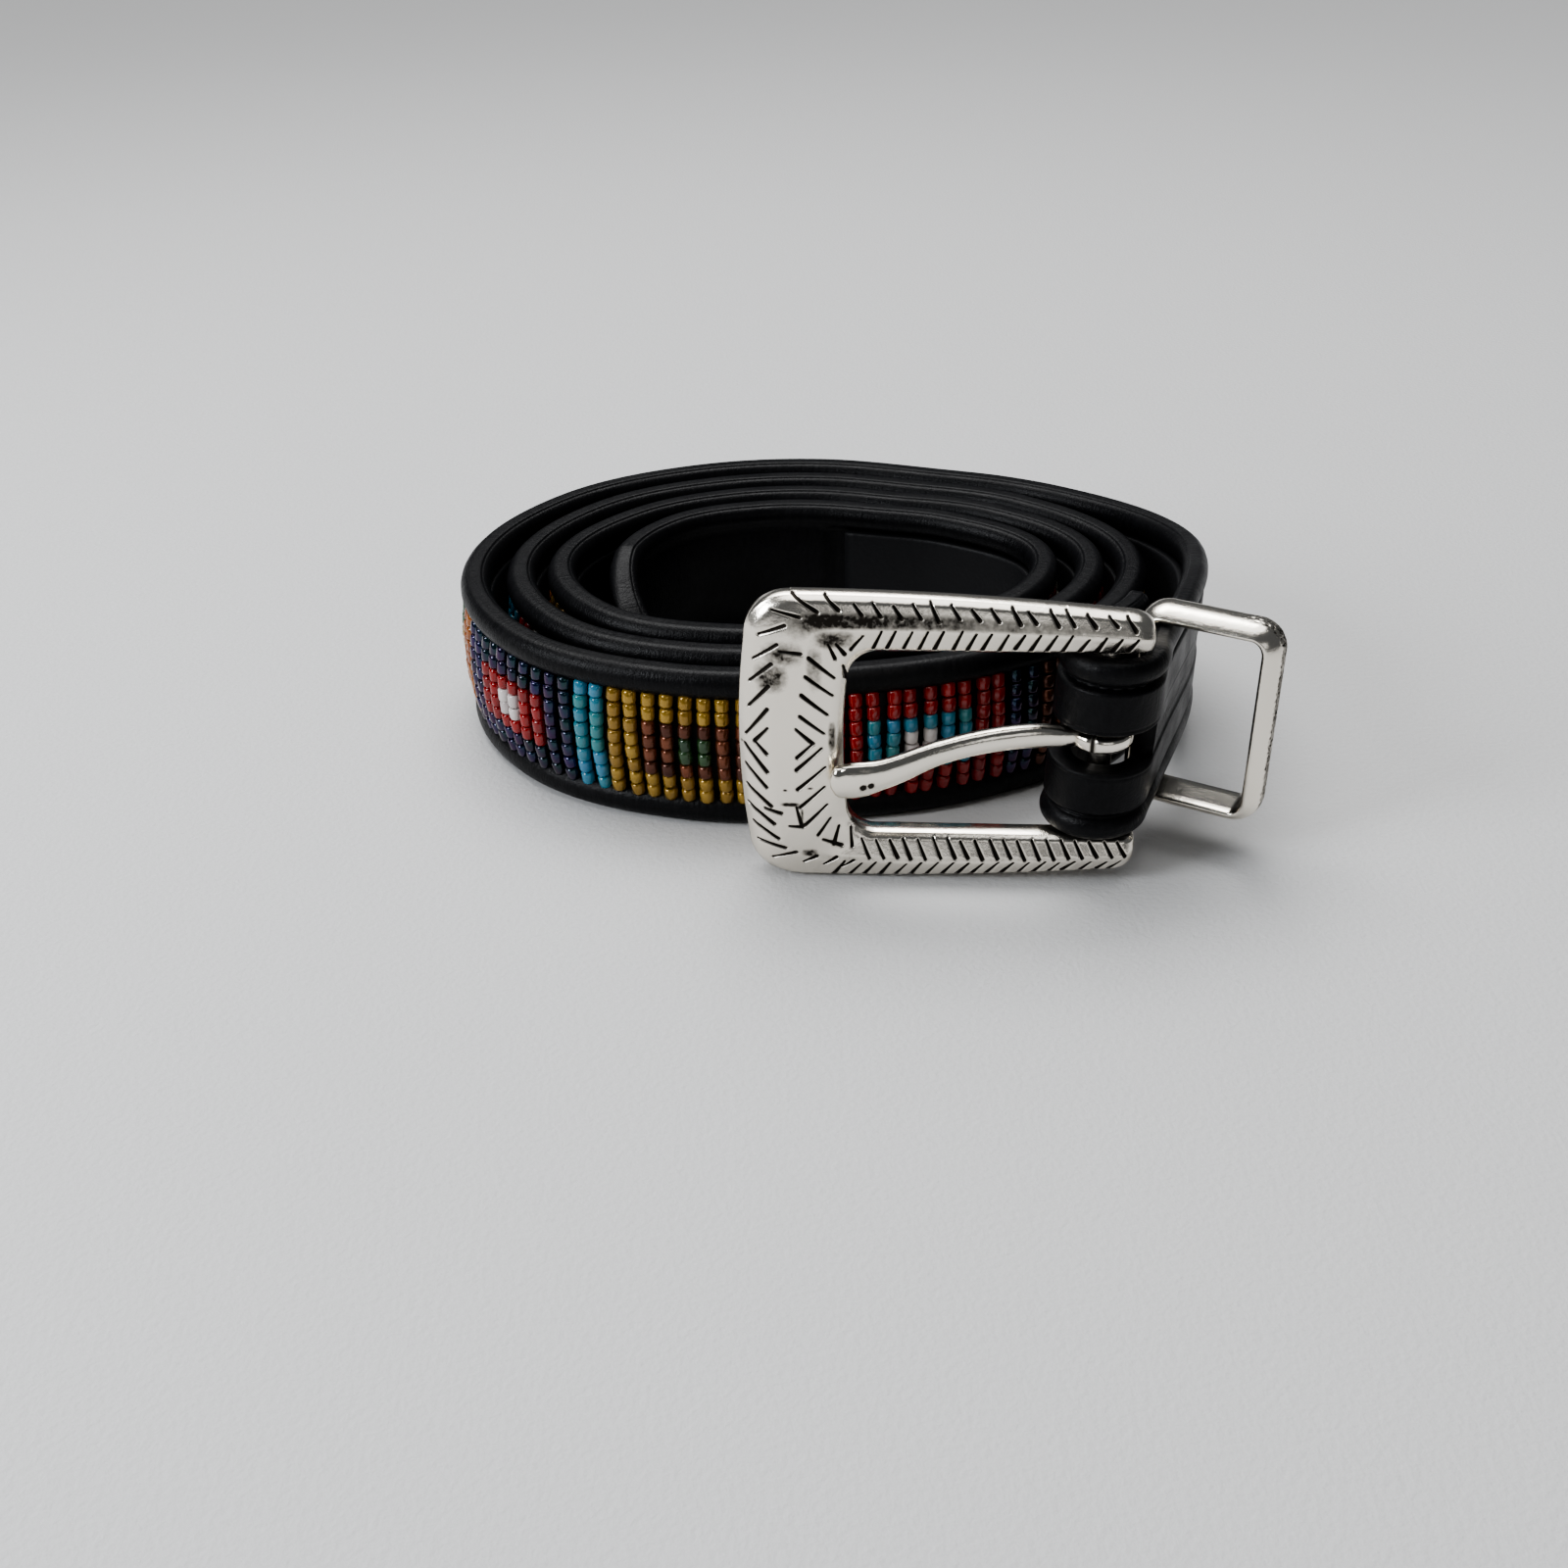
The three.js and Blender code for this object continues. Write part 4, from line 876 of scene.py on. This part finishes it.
# Tongue
# A polished silver blade, bent in a slow S, that hangs on the bar by a loop of its own and rests on
# the far bar's inner edge.
TONGUE_REACH = 31.7
TONGUE_WIDTH = 4.4
TONGUE_THICKNESS = 2.4
TONGUE_RISE = 4.3
TONGUE_DROOP = 4.4
LOOP_INNER = 1.7
LOOP_OUTER = 3.9
LOOP_HALF = 1.05
LOOP_RISE = 0.75
tongue_table = np.array([
    # reach, rise, sink, width, depth
    (0.07, 0.2, -0.16, 0.5, 0.8), (0.14, 0.4, -0.26, 0.6, 0.9), (0.24, 0.6, -0.38, 0.66, 0.97),
    (0.4, 0.8, -0.34, 0.66, 1.0), (0.6, 0.94, 0.0, 0.66, 1.0), (0.8, 1.02, 0.63, 0.84, 1.0),
    (0.95, 1.03, 0.9, 0.98, 0.92), (0.985, 1.02, 0.93, 0.8, 0.8), (1.0, 1.01, 0.94, 0.42, 0.5),
])


def smooth_curve(place, places, values):
    """Cubic curve through a table, with slopes from the neighbours on both sides."""
    slope = np.gradient(values, places)
    k = np.clip(np.searchsorted(places, place) - 1, 0, len(places) - 2)
    h = places[k + 1] - places[k]
    t = (place - places[k]) / h
    a, b, c, d = values[k], values[k + 1], slope[k] * h, slope[k + 1] * h
    return a * (1 + 2 * t) * (1 - t) ** 2 + b * t * t * (3 - 2 * t) + c * t * (1 - t) ** 2 - d * t * t * (1 - t)


place = np.concatenate([np.linspace(0.07, 0.94, 110), np.linspace(0.945, 1, 26)])
reach, rise_, sink, wide, deep = (smooth_curve(place, tongue_table[:, 0], tongue_table[:, k]) for k in range(5))
centre = np.stack([TONGUE_REACH * place, -TONGUE_DROOP * sink, TONGUE_RISE * rise_], axis=1)
ahead = np.gradient(centre, axis=0)
ahead /= np.linalg.norm(ahead, axis=1, keepdims=True)
outward = np.array([0, 0, 1.0]) - ahead * ahead[:, 2:]
outward /= np.linalg.norm(outward, axis=1, keepdims=True)
sideways = np.cross(outward, ahead)
spin = 2 * np.pi * np.arange(40) / 40
BLADE_ROUNDNESS = 0.86
turned = np.stack([np.cos(spin), np.sin(spin)], axis=1)
ring = np.sign(turned) * np.abs(turned) ** BLADE_ROUNDNESS
half_wide = TONGUE_WIDTH / 2 * wide
half_deep = TONGUE_THICKNESS / 2 * deep
grid = (
    centre[:, None, :]
    + sideways[:, None, :] * (half_wide[:, None] * ring[:, 0])[..., None]
    + outward[:, None, :] * (half_deep[:, None] * ring[:, 1])[..., None]
)
points = in_buckle(grid[..., 0], grid[..., 1], grid[..., 2])
rows = len(place)
ends = np.array([np.arange(40), np.arange(40) + (rows - 1) * 40])
pits = np.zeros((rows, 40))
for reach_at, side_at in ((28.0, -0.25), (27.1, -0.25)):
    far = np.hypot(centre[:, None, 0] - reach_at, 2.2 * (ring[None, :, 0] - side_at)) + 3 * (ring[None, :, 1] < 0)
    pits = np.maximum(pits, 1 - far / 0.55)
uv = np.stack([np.clip(pits, 0, 1), np.zeros(pits.shape)], axis=-1).reshape(-1, 2)
polished = silver("polished_silver_tongue", 0.1)
blade = add_mesh("tongue_blade", points, [loop_faces(rows, 40), ends], polished, "tongue", uv)
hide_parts("buckle_tongue")

turn_round = 2 * np.pi * np.arange(64) / 64
spin = 2 * np.pi * np.arange(20) / 20
loop_middle = (LOOP_INNER + LOOP_OUTER) / 2
loop_radius = loop_middle + (LOOP_OUTER - LOOP_INNER) / 2 * np.sign(np.cos(spin)) * np.abs(np.cos(spin)) ** 0.7
loop_up = LOOP_HALF * np.sign(np.sin(spin)) * np.abs(np.sin(spin)) ** 0.7
notch = np.exp(-(((turn_round - 1.2) / 0.09) ** 2))[:, None]
loop_radius = loop_radius - 0.3 * notch * (np.cos(spin) > 0) * (np.sin(spin) > -0.5)
loop_reach = loop_radius * np.cos(turn_round)[:, None]
loop_out = loop_radius * np.sin(turn_round)[:, None]
points = in_buckle(loop_reach, LOOP_RISE + loop_up[None, :], loop_out)
uv = np.stack([(0.5 * notch * np.ones(20)).ravel(), np.zeros(64 * 20)], axis=1)
loop = add_mesh("tongue_loop", points, [loop_faces(65, 20) % (64 * 20)], polished, "tongue", uv)
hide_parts("buckle_tongue")

# Keeper
# A closed ring of flat silver wire, domed outside, its outer edge pitted and gone dark at the front.
KEEPER_PLACE = COIL_CENTRE + np.array([44.2256, -42.1596, 18.0708])
KEEPER_TURN = math.radians(-30.3405)
KEEPER_HALF = (8.825, 13.49)
KEEPER_CORNER = 3.6
KEEPER_BAND = 5.6
KEEPER_WALLS = {"coil side": 1.45, "outer side": 2.1, "edges": 1.85}
KEEPER_ROWS = 520
KEEPER_COLUMNS = 52
path = []
for number, (side, up) in enumerate([(1, -1), (1, 1), (-1, 1), (-1, -1)]):
    angle = -math.pi / 2 + (number + np.linspace(0, 1, 18)) * math.pi / 2
    centre = np.array([side * (KEEPER_HALF[0] - KEEPER_CORNER), up * (KEEPER_HALF[1] - KEEPER_CORNER)])
    out = np.stack([np.cos(angle), np.sin(angle)], axis=1)
    path.append(np.hstack([centre + KEEPER_CORNER * out, out]))
path = np.vstack(path)
closed = np.vstack([path, path[:1]])
step = np.concatenate([[0], np.cumsum(np.hypot(*np.diff(closed[:, :2], axis=0).T) + 0.02)])
place = np.linspace(0, step[-1], KEEPER_ROWS, endpoint=False)
path = np.stack([np.interp(place, step, closed[:, k]) for k in range(4)], axis=1)
path[:, 2:] /= np.linalg.norm(path[:, 2:], axis=1, keepdims=True)
band = np.concatenate([np.linspace(-1, 1, 45), [1.0, 0.9, 0.5, 0, -0.5, -0.9, -1.0]])
sunk = np.concatenate([0.72 * np.abs(np.linspace(-1, 1, 45)) ** 2.6, [0.9, 1, 1, 1, 1, 1, 0.9]])
edge = smooth_in((band + 0.5) / 0.3) * (np.arange(KEEPER_COLUMNS) < 45)
worked = np.clip(path[:, 0] / KEEPER_HALF[0], 0, 1)[:, None] ** 2 * edge[None, :]
rough_edge = rng.normal(0, 1, (KEEPER_ROWS, KEEPER_COLUMNS))
rough_edge = (rough_edge + np.roll(rough_edge, 1, axis=0) + np.roll(rough_edge, 1, axis=1)) / 1.73
pits = 0.12 * worked * np.clip(rough_edge + 0.2, 0, 2.2)
side_wall = np.where(path[:, :1] > 0, KEEPER_WALLS["outer side"], KEEPER_WALLS["coil side"])
grid = np.stack([
    path[:, :1] - path[:, 2:3] * (side_wall * sunk + pits),
    np.broadcast_to(band * KEEPER_BAND / 2, pits.shape),
    path[:, 1:2] - path[:, 3:4] * (KEEPER_WALLS["edges"] * sunk + pits),
], axis=-1)
points = KEEPER_PLACE + np.stack([
    grid[..., 0] * math.cos(KEEPER_TURN) - grid[..., 1] * math.sin(KEEPER_TURN),
    grid[..., 0] * math.sin(KEEPER_TURN) + grid[..., 1] * math.cos(KEEPER_TURN),
    grid[..., 2],
], axis=-1)
uv = np.stack([worked * np.clip(rough_edge * 0.5, 0, 1), 0.75 * worked], axis=-1).reshape(-1, 2)
faces = loop_faces(KEEPER_ROWS + 1, KEEPER_COLUMNS) % (KEEPER_ROWS * KEEPER_COLUMNS)
keeper = add_mesh("keeper_ring", points, [faces], silver("keeper_silver", 0.18), "belt", uv)
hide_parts("keeper_loop")
